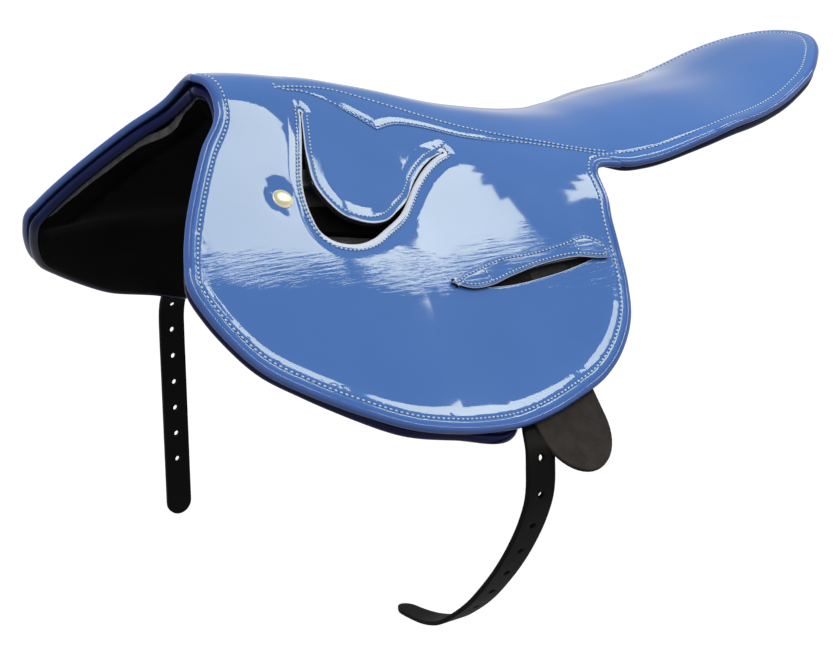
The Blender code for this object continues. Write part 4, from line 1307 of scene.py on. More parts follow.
    def relief(self, points: Points) -> Points:
        """The flap's own swelling over the last, and the lip along its edge.

        Args:
            points: Flat points.

        Returns:
            The height at each.
        """
        points = np.column_stack((points[:, 0], np.abs(points[:, 1])))
        out = points[:, 1]
        swell = self.swell * smooth_step(out, 0.085, 0.128) * (1 - smooth_step(out, 0.128, 0.200))
        from_edge = distance_to(points, self.edge[::2])
        nearest = np.argmin(np.linalg.norm(points[:, None] - self.edge[None, ::2], axis=2), axis=1) * 2
        at, slopes = np.array(self.lip_slopes).T
        start, end = self.lip_reach
        ramps = [np.clip(end + shift * MM - from_edge, 0.0, end - start)
                 for shift in (-0.5, -0.17, 0.17, 0.5)]
        lip = np.interp(nearest, at, slopes) * np.mean(ramps, axis=0)
        front = 1 - smooth_step(points[:, 0], -92 * MM, -40 * MM)
        arch = self.arch_rise * front * (1 - smooth_step(out, 20 * MM, 50 * MM))
        depth, reach = self.dimple
        dimple = depth * np.exp(-(np.linalg.norm(points - self.stud_place, axis=1) / reach) ** 2)
        swell = swell * smooth_step(from_edge, 4 * MM, 30 * MM) + self.swells.height(points)
        return swell + lip + arch - dimple

    def skirt_relief(self, points: Points) -> Points:
        """How far the skirt stands proud, most in its middle and nothing at its root.

        Args:
            points: Flat points.

        Returns:
            The height at each.
        """
        points = np.column_stack((points[:, 0], np.abs(points[:, 1])))
        below = (points - self.tips[0]) @ self.off_root
        from_edge = distance_to(points, self.skirt_region)
        lift = self.skirt_lift * np.clip(below / self.skirt_depth, 0.0, 1.2) ** 1.8
        rear = smooth_step(points[:, 0], -15 * MM, 5 * MM) * (1 - smooth_step(points[:, 0], 38 * MM, 50 * MM))
        return lift + self.rear_rise * rear * (1 - smooth_step(from_edge, 2.5 * MM, 10 * MM))

    def build(self) -> None:
        """Makes every piece of both sides."""
        cover, skirt = self.make_sheets()
        keeper = self.make_keeper()
        pieces = {
            "flap_leather": cover, "skirt_leather": skirt, "keeper_leather": keeper,
            "edge_roll": self.make_roll(), "edge_stitching": self.edge_stitches(),
            "slit_stitching": self.slit_stitches(False), "skirt_stitching": self.slit_stitches(True),
            "keeper_stitching": self.keeper_stitches(), "brass_stud": self.make_stud(),
        }
        for word, piece in pieces.items():
            piece.name = piece.data.name = f"off_{word}"
            self.place_piece(word, piece, Side.OFF)
            self.place_piece(word, mirrored(piece, f"near_{word}"), Side.NEAR)

    def make_sheets(self) -> tuple[Piece, Piece]:
        """Both sheets of one side.

        Returns:
            The cover with its flap, and the skirt that is cut out of it.
        """
        pattern = Pattern("cover", self.last)
        edge_rows = ring_lines(self.edge, self.inward, self.edge_profile)
        slit_rows = ring_lines(self.slit, self.off_slit, self.slit_profile, closed=True)
        on_skirt = is_inside(self.slit + self.off_slit * 2 * MM, self.skirt_region)
        skirt_heights = np.array(self.skirt_profile)[:, 1:] * MM
        slit_rows[:, :, 2] = np.where(np.append(on_skirt, on_skirt[0]), skirt_heights, slit_rows[:, :, 2])
        slot = curve_through(flat(KEEPER_SLOT), self.step, closed=True, corners=(0, 4))
        slot_rows = ring_lines(slot, beside(slot, False, 10), self.keeper_slot_profile, closed=True)
        for rows in (edge_rows, slit_rows, slot_rows):
            pattern.band(rows)
        hidden = curve_through(flat(HIDDEN_EDGE), 6 * MM, corners=(0,))
        ridge = np.arange(hidden[-1][0] - 5 * MM, edge_rows[-1][0][0] + 3 * MM, -5 * MM)
        ridge = np.column_stack((ridge, np.zeros(len(ridge))))
        rear = edge_rows[::-1, -1, :2][1:]
        pattern.middle([np.vstack((edge_rows[-1][:, :2], rear, hidden, ridge)), slit_rows[-1][:-1],
                        slot_rows[-1][:-1]])
        near_stud = np.arange(-12, 13, 4) * MM
        backs = np.concatenate((np.arange(-0.165, 0.166, 5.5 * MM), self.stud_place[0] + near_stud))
        outs = np.concatenate((np.arange(3, 30, 3), np.arange(30, 206, 5.5))) * MM
        outs = np.concatenate((outs, self.stud_place[1] + near_stud))
        root = Vector((*(self.tips[1] - self.tips[0]), 0.0)).normalized()
        pattern.cut(np.unique(np.round(backs, 4)), np.unique(np.round(outs, 4)),
                    [(Vector((*self.tips[0], 0.0)), Vector((-root.y, root.x, 0.0)))])
        skirt = pattern.split(self.skirt_region, "skirt")
        slit, slot = (np.vstack((loop, loop[:1])) for loop in (self.slit, slot))
        thin, narrow, broad = self.rims

        def cover_rim(points: Points) -> Points:
            """The cover's pale rim, wider at the slit's bottom and right: the edge's own pale colour with a
            painted highlight of its rounded top.

            Args:
                points: Flat points.

            Returns:
                For each point, whether it lies on the rim.
            """
            back, out = points.T
            wide = smooth_step(out, 92 * MM, 100 * MM) + smooth_step(back, -45 * MM, -30 * MM)
            reach = narrow + (broad - narrow) * np.minimum(wide, 1.0)
            return (distance_to(points, slit) < reach) | (distance_to(points, slot) < thin)

        return (pattern.finish(self.thickness, self.relief, rim=cover_rim),
                skirt.finish(self.thickness, lambda p: self.relief(p) + self.skirt_relief(p),
                             rim=lambda p: distance_to(p, slit) < thin))

    def make_keeper(self) -> Piece:
        """The strap-shaped patch over the slot.

        Returns:
            The keeper.
        """
        pattern = Pattern("keeper", self.last)
        rows = ring_lines(self.keeper, self.in_keeper, self.keeper_profile, closed=True)
        pattern.band(rows)
        pattern.middle([rows[-1][:-1]])
        pattern.cut(np.arange(0.005, 0.135, 5 * MM), np.arange(0.114, 0.130, 4 * MM))
        border = np.vstack((self.keeper, self.keeper[:1]))
        # The keeper's pale lower rim: its own pale edge with a painted highlight.
        return pattern.finish(2.2 * MM, lambda p: self.relief(p) + self.keeper_rise(p),
                              rim=lambda p: (distance_to(p, border) < 0.4 * MM) & (p[:, 1] > 120.5 * MM))

    def keeper_rise(self, points: Points) -> Points:
        """Height of the keeper's upper skin: it stands up over the slot, and lies down at its point."""
        back = points[:, 0]
        return (2.7 + smooth_step(back, 34 * MM, 55 * MM) * (1 - smooth_step(back, 105 * MM, 128 * MM))) * MM

    def make_roll(self) -> Piece:
        """The rolled edge of the flap and the pommel.

        Returns:
            The roll.
        """
        line = self.edge + self.inward * self.roll_inset
        line[0] = (line[0][0], 0.0)
        height = -2.3 * MM + self.relief(line)
        return tube("roll", self.last.place(np.column_stack((line, height))), self.roll_radius)

    def edge_stitches(self) -> Piece:
        """The row inside the rolled edge."""
        line = (self.edge + self.inward * self.seam_inset * MM)[1:]
        return self.thread.row("edge", self.last, [np.column_stack((line, self.relief(line) - 0.35 * MM))])

    def slit_stitches(self, skirt: bool) -> Piece:
        """The rows round the slit.

        Args:
            skirt: Whether those on the skirt are wanted, and not those on the cover.

        Returns:
            The stitches. The cover has a second row on its left side.
        """
        rows = []
        for distance in self.slit_seams:
            line = self.slit + self.off_slit * distance * MM
            line = spaced(np.vstack((line, line[:1])), 1.0 * MM)
            wanted = is_inside(line, self.skirt_region) == skirt
            if distance < self.slit_seams[0]:
                wanted &= (line[:, 0] < -58 * MM) & (line[:, 1] < 99 * MM) & (not skirt)
            if not wanted.any():
                continue
            shift = int(np.argmax(~wanted))
            line, wanted = np.roll(line[:-1], -shift, axis=0), np.roll(wanted[:-1], -shift)
            ends = np.flatnonzero(np.diff(np.concatenate(([0], wanted.astype(int), [0]))))
            for start, end in ends.reshape(-1, 2):
                if end - start > 4:
                    run = line[start:end]
                    lift = self.relief(run) + (self.skirt_relief(run) if skirt else 0.0)
                    rows.append(np.column_stack((run, -0.68 * MM + lift)))
        return self.fine_thread.row("slit", self.last, rows)

    def keeper_stitches(self) -> Piece:
        """The row round the keeper, and those that hold its ends.

        Returns:
            The stitches.
        """
        around = self.keeper + self.in_keeper * 1.7 * MM
        bars = [flat(((33, 118.5), (34.5, 126.5))), flat(((112, 114.5), (110, 121.5)))]
        rows = []
        for line in (np.vstack((around, around[:1])), *bars):
            line = spaced(line, 1.5 * MM)
            rows.append(np.column_stack((line, self.relief(line) + self.keeper_rise(line) - 0.05 * MM)))
        return self.fine_thread.row("keeper", self.last, rows)

    def make_stud(self) -> Piece:
        """A domed stud with a thin turned rim.

        Returns:
            The stud.
        """
        count = 40
        bpy.ops.mesh.primitive_circle_add(vertices=count, radius=1.0, fill_type="NOTHING")
        stud = bpy.context.object
        with editing(stud):
            for _ in self.stud_profile[1:]:
                bpy.ops.mesh.extrude_edges_move()
            bpy.ops.mesh.edge_face_add()
        turns = np.arange(count) * 2 * math.pi / count
        rows = [np.column_stack((np.cos(turns) * radius, np.sin(turns) * radius, np.full(count, height)))
                for radius, height in self.stud_profile]
        centre = np.array([self.stud_place])
        normal = Vector(self.last.normals(centre[:, 0], centre[:, 1])[0])
        turn = np.array(normal.to_track_quat("Z", "Y").to_matrix())
        base = self.last.place(np.column_stack((centre, self.relief(centre))))[0]
        set_points(stud, np.vstack(rows) * MM @ turn.T + base)
        with editing(stud):
            bpy.ops.mesh.normals_make_consistent(inside=False)
        smooth(stud, 40)
        return stud

    def place_piece(self, word: str, piece: Piece, side: Side) -> None:
        """Dresses a piece of one side. The keeper, the slit and keeper stitching and the stud are tied to a
        body; the flap sheet, its roll and edge stitching, and the skirt with its stitching are baked in
        place.

        Args:
            word: The piece's name without its side.
            piece: The piece.
            side: Its side.
        """
        is_sheet = word.endswith("leather")
        # The rolled edge takes the darker copy of the blue patent: painted shade.
        finishes = {"edge_roll": ("roll_patent",), "brass_stud": ("polished_brass",)}.get(
            word, ("blue_patent", "cut_edge", "flesh_side") if is_sheet else ("thread", "needle_hole"))
        # Stitches carry blobs of painted needle-hole shade in their second slot.
        dress(piece, *(self.palette[name] for name in finishes))
        if is_sheet:
            smooth(piece, 40)
            self.match_seams(piece, word)
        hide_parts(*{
            "flap_leather": ("pommel_cover", f"{side.word}_flap"), "skirt_leather": (f"{side.word}_skirt",),
            "keeper_leather": (f"{side.word}_keeper",), "brass_stud": (f"{side.word}_stud",),
        }.get(word, ()))
        if word in ("flap_leather", "edge_roll", "edge_stitching"):
            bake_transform(piece)
        elif word.startswith("skirt"):
            tips = np.column_stack((self.tips * (1, side.value), np.zeros(len(self.tips))))
            start, down = self.hinge([Vector(tip) for tip in self.last.place(tips)], side)
            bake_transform(piece)
        else:
            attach(piece, f"{side.word}_flap" if word.startswith("keeper") else "saddle")
        LOG.info("%s: %d faces", piece.name, len(piece.data.polygons))

    @staticmethod
    def hinge(ends: Sequence[Vector], side: Side) -> tuple[Vector, Vector]:
        """Where a flap or skirt turns.

        Args:
            ends: Both ends of the line on which it turns.
            side: Its side.

        Returns:
            The line's middle, and the direction down from it.
        """
        along = (ends[1] - ends[0]).normalized()
        down = Vector((0.0, side.value, -1.0))
        return (ends[0] + ends[1]) / 2, (down - along * down.dot(along)).normalized()

    def match_seams(self, piece: Piece, word: str) -> None:
        """Gives both sides of a hidden join the same shading.

        Args:
            piece: A sheet of one side.
            word: Its name without its side.
        """
        points = points_of(piece)
        chosen = (np.abs(points[:, 1]) < 0.05 * MM) & (word == "flap_leather")
        if word != "keeper_leather":
            plan = np.column_stack((points[:, 0], np.abs(points[:, 1]))) - self.tips[0]
            along, off = plan @ self.root, np.abs(plan @ self.off_root)
            length = np.linalg.norm(self.tips[1] - self.tips[0])
            chosen |= (off < 0.1 * MM) & (along > 9 * MM) & (along < length - 22 * MM)
        chosen &= np.abs(points[:, 2] - self.last.height(points[:, 0], points[:, 1])) < 0.5 * MM
        exact = self.last.normals(points[:, 0], points[:, 1])
        loops = np.empty(len(piece.data.loops), int)
        piece.data.loops.foreach_get("vertex_index", loops)
        slots = np.zeros(len(loops), int)
        for face in piece.data.polygons:
            slots[face.loop_start:face.loop_start + face.loop_total] = face.material_index
        normals = np.where((chosen[loops] & (slots == 0))[:, None], exact[loops], 0.0)
        piece.data.normals_split_custom_set(normals.tolist())


@dataclass
class SeatLeather:
    """The seat and tail cover in one piece, with its seams and rolled tail edge."""

    last: Last
    palette: Palette
    step: float = 3.4 * MM
    front_sink: float = 0.9 * MM
    seat_top: float = 1.3 * MM
    rear_sink: float = 0.5 * MM
    tail_top: float = 2.3 * MM
    thickness: float = 1.8 * MM
    roll_radius: float = 2.5 * MM
    roll_inset: float = 0.8 * MM
    roll_start: float = 0.184
    seam_start: float = -0.056
    seam_profile: Line = (
        (0.0, -1.05), (0.3, -0.85), (1.0, -0.72), (1.6, -0.74), (2.2, -0.62), (3.0, -0.47), (4.0, -0.30),
        (5.0, -0.15), (6.2, -0.05), (7.6, 0.0), (9.0, 0.0), (11.5, 0.0),
    )
    tail_profile: Line = (
        (0.0, -1.8), (0.7, -0.8), (1.6, -0.2), (2.8, 0.15), (4.0, 0.2), (5.4, 0.1), (6.6, -0.05),
        (7.4, -0.35), (8.0, -0.5), (8.6, -0.35), (9.4, -0.05), (11.5, 0.0),
    )
    upper_row: Line = (
        (-54, 18.6), (-41, 17.0), (-7, 16.5), (24.5, 22), (38.6, 25), (52.5, 28), (65.2, 31), (90.4, 37.2),
        (114, 44.2), (142, 53), (166, 62.6), (181, 67.5),
    )
    thread: Thread = field(default_factory=Thread)

    def __post_init__(self) -> None:
        """Works out the cover's outline."""
        points = flat((*SEAT_FRONT, SEAT_POINT, *SEAT_SIDE, *TAIL_SIDE))
        self.half = curve_through(points, self.step, corners=(len(SEAT_FRONT),))
        self.inward = turned(self.half, len(self.half) // 2, (0.0, -1.0))
        self.inward[0], self.inward[-1] = (1.0, 0.0), (-1.0, 0.0)
        self.is_tail = smooth_step(self.half[:, 0], 0.172, 0.193)

    def height(self, points: Points) -> Points:
        """How far the cover's upper skin is over the leather below. It fades out at the pommel.

        Args:
            points: Flat points.

        Returns:
            The height at each.
        """
        out = np.abs(points[:, 1])
        back = points[:, 0]
        rise = smooth_step(back - 0.35 * out, -62 * MM, -12 * MM)
        sink = self.rear_sink * smooth_step(back, 0.10, 0.16) * (1 - smooth_step(back, 0.175, 0.215))
        tail = (self.tail_top - self.seat_top) * smooth_step(back, 0.180, 0.215)
        return (self.seat_top + self.front_sink) * rise - self.front_sink - sink + tail

    @staticmethod
    def fade(back: Points) -> Points:
        """How much of its full depth the seam has: none at the pommel, and little before the tail."""
        return smooth_step(back, -60 * MM, -20 * MM) * (1 - 0.7 * smooth_step(back, 0.10, 0.165))

    def rows(self) -> Points:
        """Rows along the edge of one half, whose profile changes from seam to rolled edge.

        Returns:
            The rows as (row, point, coordinate).
        """
        fade = self.fade(self.half[:, 0])
        rows = []
        for (seam_d, seam_h), (tail_d, tail_h) in zip(self.seam_profile, self.tail_profile):
            distance = seam_d + (tail_d - seam_d) * self.is_tail
            height = seam_h * fade + (tail_h - seam_h * fade) * self.is_tail
            rows.append(np.column_stack((self.half + self.inward * distance[:, None] * MM, height * MM)))
        return np.array(rows)

    def build(self) -> None:
        """Makes the cover, its roll and its stitching."""
        pattern = Pattern("seat_leather", self.last)
        rows = self.rows()
        other = other_half(rows)
        pattern.band(rows)
        pattern.band(other)
        pattern.middle([np.vstack((rows[-1][:, :2], other[-1][1:-1, :2]))])
        lines = np.concatenate((np.arange(0, 24, 3), np.arange(24, 84, 5))) * MM
        pattern.cut(np.arange(-0.055, 0.456, 6 * MM), both_sides(lines))
        seat = pattern.finish(self.thickness, self.height)
        dress(seat, self.palette["blue_patent"], self.palette["cut_edge"], self.palette["flesh_side"])
        smooth(seat, 40)
        settle(seat, "seat_cover", "seat_foam", "pommel_pad", slot="blue_patent")
        at_tail = self.half[:, 0] > self.roll_start
        line = self.half[at_tail] + self.inward[at_tail] * self.roll_inset
        line[-1][1] = 0.0
        whole = np.vstack((line, (line * (1, -1))[-2::-1]))
        depth = self.height(whole) - self.roll_radius
        roll = tube("tail_edge_roll", self.last.place(np.column_stack((whole, depth))), self.roll_radius)
        # The tail roll takes the darker copy of the blue patent: painted shade.
        dress(roll, self.palette["roll_patent"])
        settle(roll)
        settle(self.stitches())

    def stitches(self) -> Piece:
        """Both rows of the seat's seam, and the row round the tail.

        Returns:
            The stitches, in their finishes.
        """
        front = int(np.argmax(self.half[:, 0] > self.seam_start))
        is_tail = self.is_tail[front:]
        seam = self.half[front:] + self.inward[front:] * (1.6 + 6.4 * is_tail[:, None]) * MM
        sink = -0.70 * MM * self.fade(seam[:, 0]) * (1 - is_tail) - 0.42 * MM * is_tail
        upper = curve_through(flat(self.upper_row), 3 * MM)
        lines = [np.column_stack((line, np.maximum(self.height(line) + depth, 0.1 * MM)))
                 for line, depth in ((seam, sink), (upper, 0.0))]
        rows = [line * (1, sign, 1) for sign in (1, -1) for line in lines]
        stitching = self.thread.row("seat_stitching", self.last, rows)
        # The second slot is the darker blob of painted needle-hole shade.
        return dress(stitching, self.palette["thread"], self.palette["needle_hole"])


@dataclass
class Padding:
    """The panels under the flaps and the pad under the tail, with their linings and rolls."""

    last: Last
    palette: Palette
    felt: float = 7.0 * MM
    under_cover: float = -5.0 * MM
    side_top: float = -9.7 * MM
    tree_top: float = -16.2 * MM
    lining: float = 1.9 * MM
    roll: float = 3.6 * MM
    tail_roll: float = 3.4 * MM
    tail_top: float = -3.5 * MM
    tail_bottom: float = -12.0 * MM
    roll_end: float = 0.030
    panel_profile: Line = ((4.6, 3.6), (5.1, 2.2), (6.0, 1.1), (7.6, 0.3), (9.6, 0.0))
    tail_profile: Line = ((5.2, 3.2), (5.8, 1.8), (6.8, 0.8), (8.4, 0.0))

    def behind(self, points: Points) -> Points:
        """How far flat points lie behind the front edge."""
        backs, outs = flat(FRONT_EDGE).T
        return points[:, 0] - np.interp(np.abs(points[:, 1]), outs, backs)

    def edge_top(self, points: Points) -> Points:
        """Depth of the panel's top beside its roll."""
        slope = smooth_step(self.behind(points), 30 * MM, 100 * MM)
        return self.under_cover + slope * (self.side_top - self.under_cover)

    def panel_top(self, points: Points) -> Points:
        """Depth of the panel's top, which dips under the tree.

        Args:
            points: Flat points.

        Returns:
            The depth at each.
        """
        dip = smooth_step(self.behind(points), 1 * MM, 12 * MM)
        dip = dip * (1 - smooth_step(np.abs(points[:, 1]), 96 * MM, 118 * MM))
        top = self.edge_top(points)
        return top + dip * (self.tree_top - top)

    def build(self) -> None:
        """Makes the panel, its roll, the tail pad and its roll."""
        run = curve_through(flat((*FRONT_EDGE, *LOWER_EDGE[:7], *PANEL_REAR)), 3.4 * MM)
        inward = turned(run, 40, (1.0, 0.0))
        inward[0] = (1.0, 0.0)
        self.make_panel(run, inward)
        end = len(run) - int(np.argmax(run[::-1, 0] < self.roll_end))
        line = (run + inward * self.roll)[:end]
        line[0][1] = 0.0
        half = np.column_stack((line, self.edge_top(line) - self.felt / 2))
        self.make_roll("panel_roll", np.vstack((half[:0:-1] * (1, -1, 1), half)), self.roll, "panel_binding")
        self.make_tail()

    def make_roll(self, name: str, line: Points, radius: float, node: str) -> None:
        """A rolled edge of the padding.

        Args:
            name: Its name.
            line: Its middle line, in flat points.
            radius: Half its thickness.
            node: The frame's node that it stands for.
        """
        roll = tube(name, self.last.place(line), radius, 6)
        # The binding's own dark blue, painted darker still as shade.
        dress(roll, self.palette["navy_patent"])
        settle(roll, node, slot="dark_blue_patent")

    def make_panel(self, run: Points, inward: Points) -> None:
        """The padded panel of both sides in one lining.

        Args:
            run: Its edge on one side.
            inward: The directions in from the edge.
        """
        rows = ring_lines(run, inward, self.panel_profile)
        rows[:, 0, 1] = 0.0
        other = other_half(rows)
        pattern = Pattern("panel_lining_leather", self.last)
        pattern.band(rows)
        pattern.band(other)
        ends = rows[::-1, -1, :2][1:]
        rear = [(0.153, 0.0)]
        pattern.middle([np.vstack((rows[-1][:, :2], ends, rear, ends[::-1] * (1, -1), other[-1][:-1, :2]))])
        lines = np.concatenate((np.arange(0, 24, 4), np.arange(24, 204, 9))) * MM
        pattern.cut(np.arange(-0.160, 0.156, 9 * MM), both_sides(lines))
        depth = self.felt + self.lining
        panel = pattern.finish(0.0, None, lambda p: self.panel_top(p) - depth, self.panel_top)
        dress(panel, self.palette["black_lining"], self.palette["black_lining"], self.palette["grey_felt"])
        smooth(panel, 40)
        settle(panel, "panel_lining", "near_panel", "off_panel")

    def make_tail(self) -> None:
        """The padded underside of the tail and its roll."""
        backs, outs = flat(SEAT_SIDE).T
        behind = [point for point in (*SEAT_SIDE, *TAIL_SIDE) if point[0] > 179]
        start = (175.0, float(np.interp(0.175, backs, outs)) / MM)
        half = curve_through(flat((start, *behind)), 4 * MM)
        inward = turned(half, len(half) // 2, (0.0, -1.0))
        inward[-1] = (-1.0, 0.0)
        rows = ring_lines(half, inward, self.tail_profile)
        other = other_half(rows)
        pattern = Pattern("tail_pad_leather", self.last)
        pattern.band(rows)
        pattern.band(other)
        ends = rows[:, 0, :2][:-1]
        pattern.middle([np.vstack((ends, rows[-1][:, :2], other[-1][1:, :2], (ends * (1, -1))[::-1]))])
        lines = np.concatenate((np.arange(0, 24, 4), np.arange(24, 80, 8))) * MM
        pattern.cut(np.arange(0.180, 0.45, 8 * MM), both_sides(lines))
        tail = pattern.finish(0.0, None, lambda p: np.full(len(p), self.tail_bottom),
                              lambda p: np.full(len(p), self.tail_top))
        dress(tail, self.palette["black_lining"])
        smooth(tail, 40)
        settle(tail, "tail_pad", "tail_lining")
        line = half + inward * self.tail_roll
        line[-1][1] = 0.0
        line = np.column_stack((line, np.full(len(line), self.tail_top - self.tail_roll)))
        line = np.vstack((line, (line * (1, -1, 1))[-2::-1]))
        self.make_roll("tail_pad_roll", line, self.tail_roll, "tail_binding")


@dataclass
class GirthStraps:
    """The hanging straps with their punched holes, the guards and the web that carries them."""

    last: Last
    palette: Palette
    width: float = 20.8 * MM
    lean: dict[Side, float] = field(default_factory=lambda: {Side.NEAR: 0.646, Side.OFF: 0.0})
    fall: float = 0.09
    taper: dict[Side, float] = field(default_factory=lambda: {Side.NEAR: 0.4, Side.OFF: 0.0})
    thickness: float = 3.0 * MM
    hole: float = 2.1 * MM
    strap_profile: Line = ((0.0, -0.5), (0.25, -0.15), (0.7, 0.0), (1.6, 0.0))
    hole_profile: Line = ((0.0, -0.45), (0.25, -0.12), (0.8, 0.0))
    guard_lean: float = 9.0 * MM
    guard_centre: float = 47.5
    guard_half: float = 26.5
    guard_low: float = 202.0
    guard_profile: Line = ((0.0, -0.5), (0.3, -0.12), (1.0, 0.0), (2.2, 0.0))
    web_size: tuple[float, float] = (0.046, 0.185)
    web_depth: float = -9.1 * MM
    under_flap: Sequence[float] = (86, 98, 111, 124, 137, 150, 163, 176, 188, 199)
    under_depth: float = -8.5 * MM
    drops: dict[Side, Line] = field(default_factory=lambda: {
        Side.NEAR: ((209, -207), (210.8, -218), (210.3, -232), (204.5, -250), (195.5, -268), (183, -288),
                    (168.5, -307), (153.5, -324), (139, -337), (121, -350), (103, -357), (84, -360.5),
                    (66, -362)),
        Side.OFF: ((209, -207), (211.6, -218), (212, -230), (212, -262), (212, -294), (212, -326),
                   (212, -356), (212, -384)),
    })
    backs: dict[Side, float] = field(default_factory=lambda: {Side.NEAR: 9 * MM, Side.OFF: -12 * MM})
    pivots: dict[Side, float] = field(default_factory=lambda: {Side.NEAR: -0.232, Side.OFF: -0.230})
    pitches: dict[Side, float] = field(default_factory=lambda: {Side.NEAR: 23.2 * MM, Side.OFF: 21.4 * MM})

    def build(self) -> None:
        """Makes both straps, both guards and the web."""
        for side in Side:
            self.make_strap(side)
            self.make_guard(side)
        self.make_web()

    def route(self, side: Side) -> tuple[Points, Points]:
        """The course of a strap.

        Args:
            side: Its side.

        Returns:
            The strap's middle line in space, and its outward directions.
        """
        back = self.backs[side]
        outs = flat(self.under_flap)
        places, depths = np.full(len(outs), back), np.full(len(outs), self.under_depth)
        under = self.last.place(np.column_stack((places, outs, depths)))
        hanging = [(back, y * MM, self.last.arch + z * MM) for y, z in self.drops[side]]
        line = spaced(curve_through(np.vstack((under, hanging)), 3 * MM), 3 * MM)
        upper = smooth_step(line[:, 2] - self.last.arch, -0.224, -0.210)
        rearward = self.lean[side] * np.clip(210.5 * MM - line[:, 1], 0.0, 22 * MM) * upper
        line[:, 0] += rearward
        line[:, 2] -= self.fall * rearward
        along = np.gradient(line, axis=0)
        along /= np.linalg.norm(along, axis=1)[:, None]
        outward = np.cross((1.0, 0.0, 0.0), along)
        outward /= np.linalg.norm(outward, axis=1)[:, None]
        outward *= 1.0 if outward[5] @ (0.0, 1.0, 1.0) > 0 else -1.0
        sign = (1.0, side.value, 1.0)
        return line * sign, outward * sign

    def make_strap(self, side: Side) -> None:
        """One strap, cut flat with its holes and bent along its route.

        Args:
            side: Its side.
        """
        line, outward = self.route(side)
        lengths = run_lengths(line)
        pivot = float(np.interp(-(self.last.arch + self.pivots[side]), -line[:, 2], lengths))
        total, half = lengths[-1], self.width / 2
        turns = np.linspace(math.pi / 2, -math.pi / 2, 17)
        end = np.column_stack((total - half + half * np.cos(turns), half * np.sin(turns)))
        sides = np.arange(0.0, total - half, 4 * MM)
        sides = np.column_stack((sides, np.full(len(sides), half)))
        loop = np.vstack((sides, end, sides[::-1] * (1, -1)))
        pattern = Pattern(f"{side.word}_strap_leather", self.last)
        rings = [ring_lines(loop, beside(loop, True), self.strap_profile, closed=True)]
        angles = np.arange(20) * 2 * math.pi / 20
        around = np.column_stack((np.cos(angles), np.sin(angles)))
        for place in pivot + self.pitches[side] * np.arange(-1, 6):
            hole = around * self.hole + (place, 0.0)
            rings.append(ring_lines(hole, around, self.hole_profile, closed=True))
        for ring in rings:
            pattern.band(ring)
        pattern.middle([ring[-1][:-1] for ring in rings])
        pattern.cut(np.arange(4 * MM, total, 4 * MM), np.array((-5.5, 0.0, 5.5)) * MM)
        strap = self.bend(pattern, line, outward, lengths, self.taper[side])
        dress(strap, self.palette["strap_leather"])
        smooth(strap, 45)
        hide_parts(f"{side.word}_girth_strap", f"{side.word}_strap_anchor")
        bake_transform(strap)
        LOG.info("%s: %d faces", strap.name, len(strap.data.polygons))

    def bend(self, pattern: Pattern, line: Points, outward: Points, lengths: Points, taper: float) -> Piece:
        """Thickens a strap and bends it along its route.

        Args:
            pattern: The flat strap.
            line: Its middle line in space.
            outward: The line's outward directions.
            lengths: The length along the line at each of its points.
            taper: The share of its width that the strap loses towards its end.

        Returns:
            The bent strap.
        """
        obj = pattern.obj
        count = len(obj.data.vertices)
        with editing(obj):
            bpy.ops.mesh.extrude_region_move()
        points = points_of(obj)
        upper = np.arange(len(points)) < count
        points[:, 2] = np.where(upper, self.thickness / 2 + points[:, 2], -self.thickness / 2)
        middle, across = (np.column_stack([np.interp(points[:, 0], lengths, column) for column in rows.T])
                          for rows in (line, outward))
        across /= np.linalg.norm(across, axis=1)[:, None]
        placed = middle + across * points[:, 2:3]
        near_end = smooth_step(points[:, 0], lengths[-1] - 70 * MM, lengths[-1])
        placed[:, 0] += points[:, 1] * (1 - taper * near_end)
        upper_part = smooth_step(placed[:, 2] - self.last.arch, -0.224, -0.208)
        placed[:, 2] -= self.fall * points[:, 1] * upper_part
        set_points(obj, placed)
        with editing(obj):
            bpy.ops.mesh.normals_make_consistent(inside=False)
        return obj

    def make_guard(self, side: Side) -> None:
        """One suede guard under the buckle, with a round end.

        Args:
            side: Its side.
        """
        turns = np.linspace(0.0, math.pi, 25)
        end = np.column_stack((self.guard_centre + self.guard_half * np.cos(turns),
                               self.guard_low + self.guard_half * np.sin(turns)))
        rear, front = self.guard_centre + self.guard_half, self.guard_centre - self.guard_half
        down, up = [(rear, y) for y in range(105, 195, 9)], [(front, y) for y in range(190, 100, -9)]
        loop = flat([(rear, 96), *down, *end, *up, (front, 96)])
        loop[:, 0] -= self.guard_lean * np.clip((loop[:, 1] - 180 * MM) / (50 * MM), 0.0, 1.0)
        pattern = Pattern(f"{side.word}_guard_suede", self.last)
        rows = ring_lines(loop, beside(loop, True), self.guard_profile, closed=True)
        pattern.band(rows)
        pattern.middle([rows[-1][:-1]])
        pattern.cut(np.arange(0.024, 0.074, 6 * MM), np.arange(0.100, 0.224, 6 * MM))
        guard = pattern.finish(2.0 * MM, lambda p: np.full(len(p), -5.0 * MM))
        if side is Side.NEAR:
            flip(guard)
        dress(guard, self.palette["brown_suede"])
        smooth(guard, 45)
        settle(guard, f"{side.word}_buckle_guard", slot="brown_suede")

    def make_web(self) -> None:
        """The woven girth web over the tree."""
        bpy.ops.mesh.primitive_grid_add(x_subdivisions=6, y_subdivisions=60, size=1)
        web = bpy.context.object
        web.name = web.data.name = "girth_web_linen"
        plan = points_of(web)[:, :2] * self.web_size + (1 * MM, 0.0)
        set_points(web, self.last.place(np.column_stack((plan, np.full(len(plan), self.web_depth)))))
        modifier = web.modifiers.new("thickness", "SOLIDIFY")
        modifier.thickness, modifier.offset = 1.1 * MM, -1.0
        only(web)
        bpy.ops.object.modifier_apply(modifier=modifier.name)
        dress(web, self.palette["linen_web"])
        smooth(web, 45)
        settle(web, "girth_web", slot="linen_web")


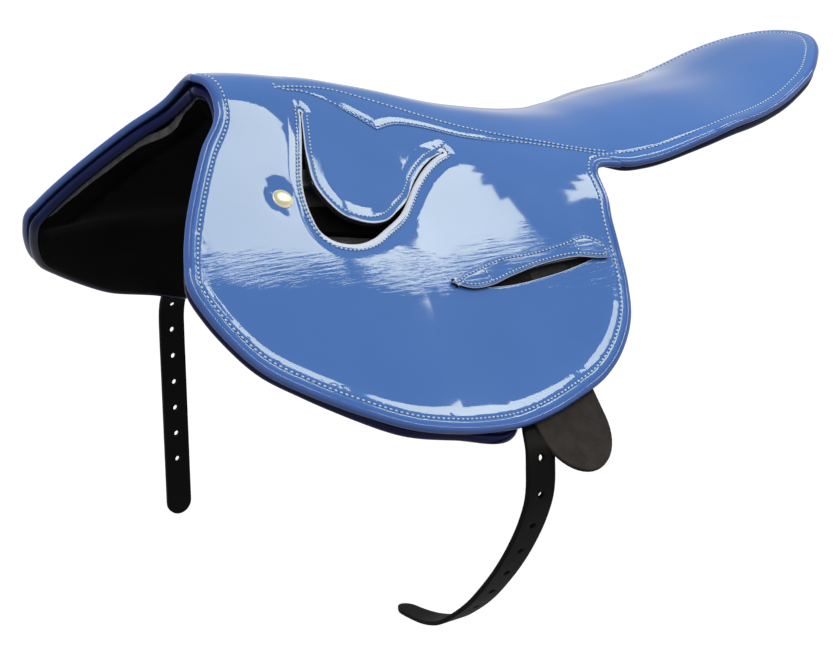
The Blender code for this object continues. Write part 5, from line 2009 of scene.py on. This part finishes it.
def dress_frame(frame: dict[str, object], palette: Palette) -> None:
    """Gives the frame's own hard pieces their finishes.

    Args:
        palette: Every finish.
    """
    finishes = {"tree": "tree_laminate", "tail_board": "tree_laminate"}
    for name, node in frame["nodes"].items():
        if node.hide_render:
            continue
        finish = palette[finishes.get(name, "forged_steel")]
        for slot in node.material_slots:
            slot.material = finish
        if not node.material_slots:
            node.data.materials.append(finish)
        LOG.info("%s: %s", name, finish.name)


def main() -> None:
    """Builds the dressed saddle in its studio."""
    logging.basicConfig(level=logging.INFO, format="%(message)s")
    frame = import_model()
    bpy.ops.object.select_all(action="DESELECT")
    bpy.context.scene.view_settings.view_transform = "Standard"
    Studio().build()
    palette = Palette()
    last = Last()
    SideLeather(last, palette).build()
    SeatLeather(last, palette).build()
    Padding(last, palette).build()
    GirthStraps(last, palette).build()
    dress_frame(frame, palette)


if __name__ == "__main__":
    main()
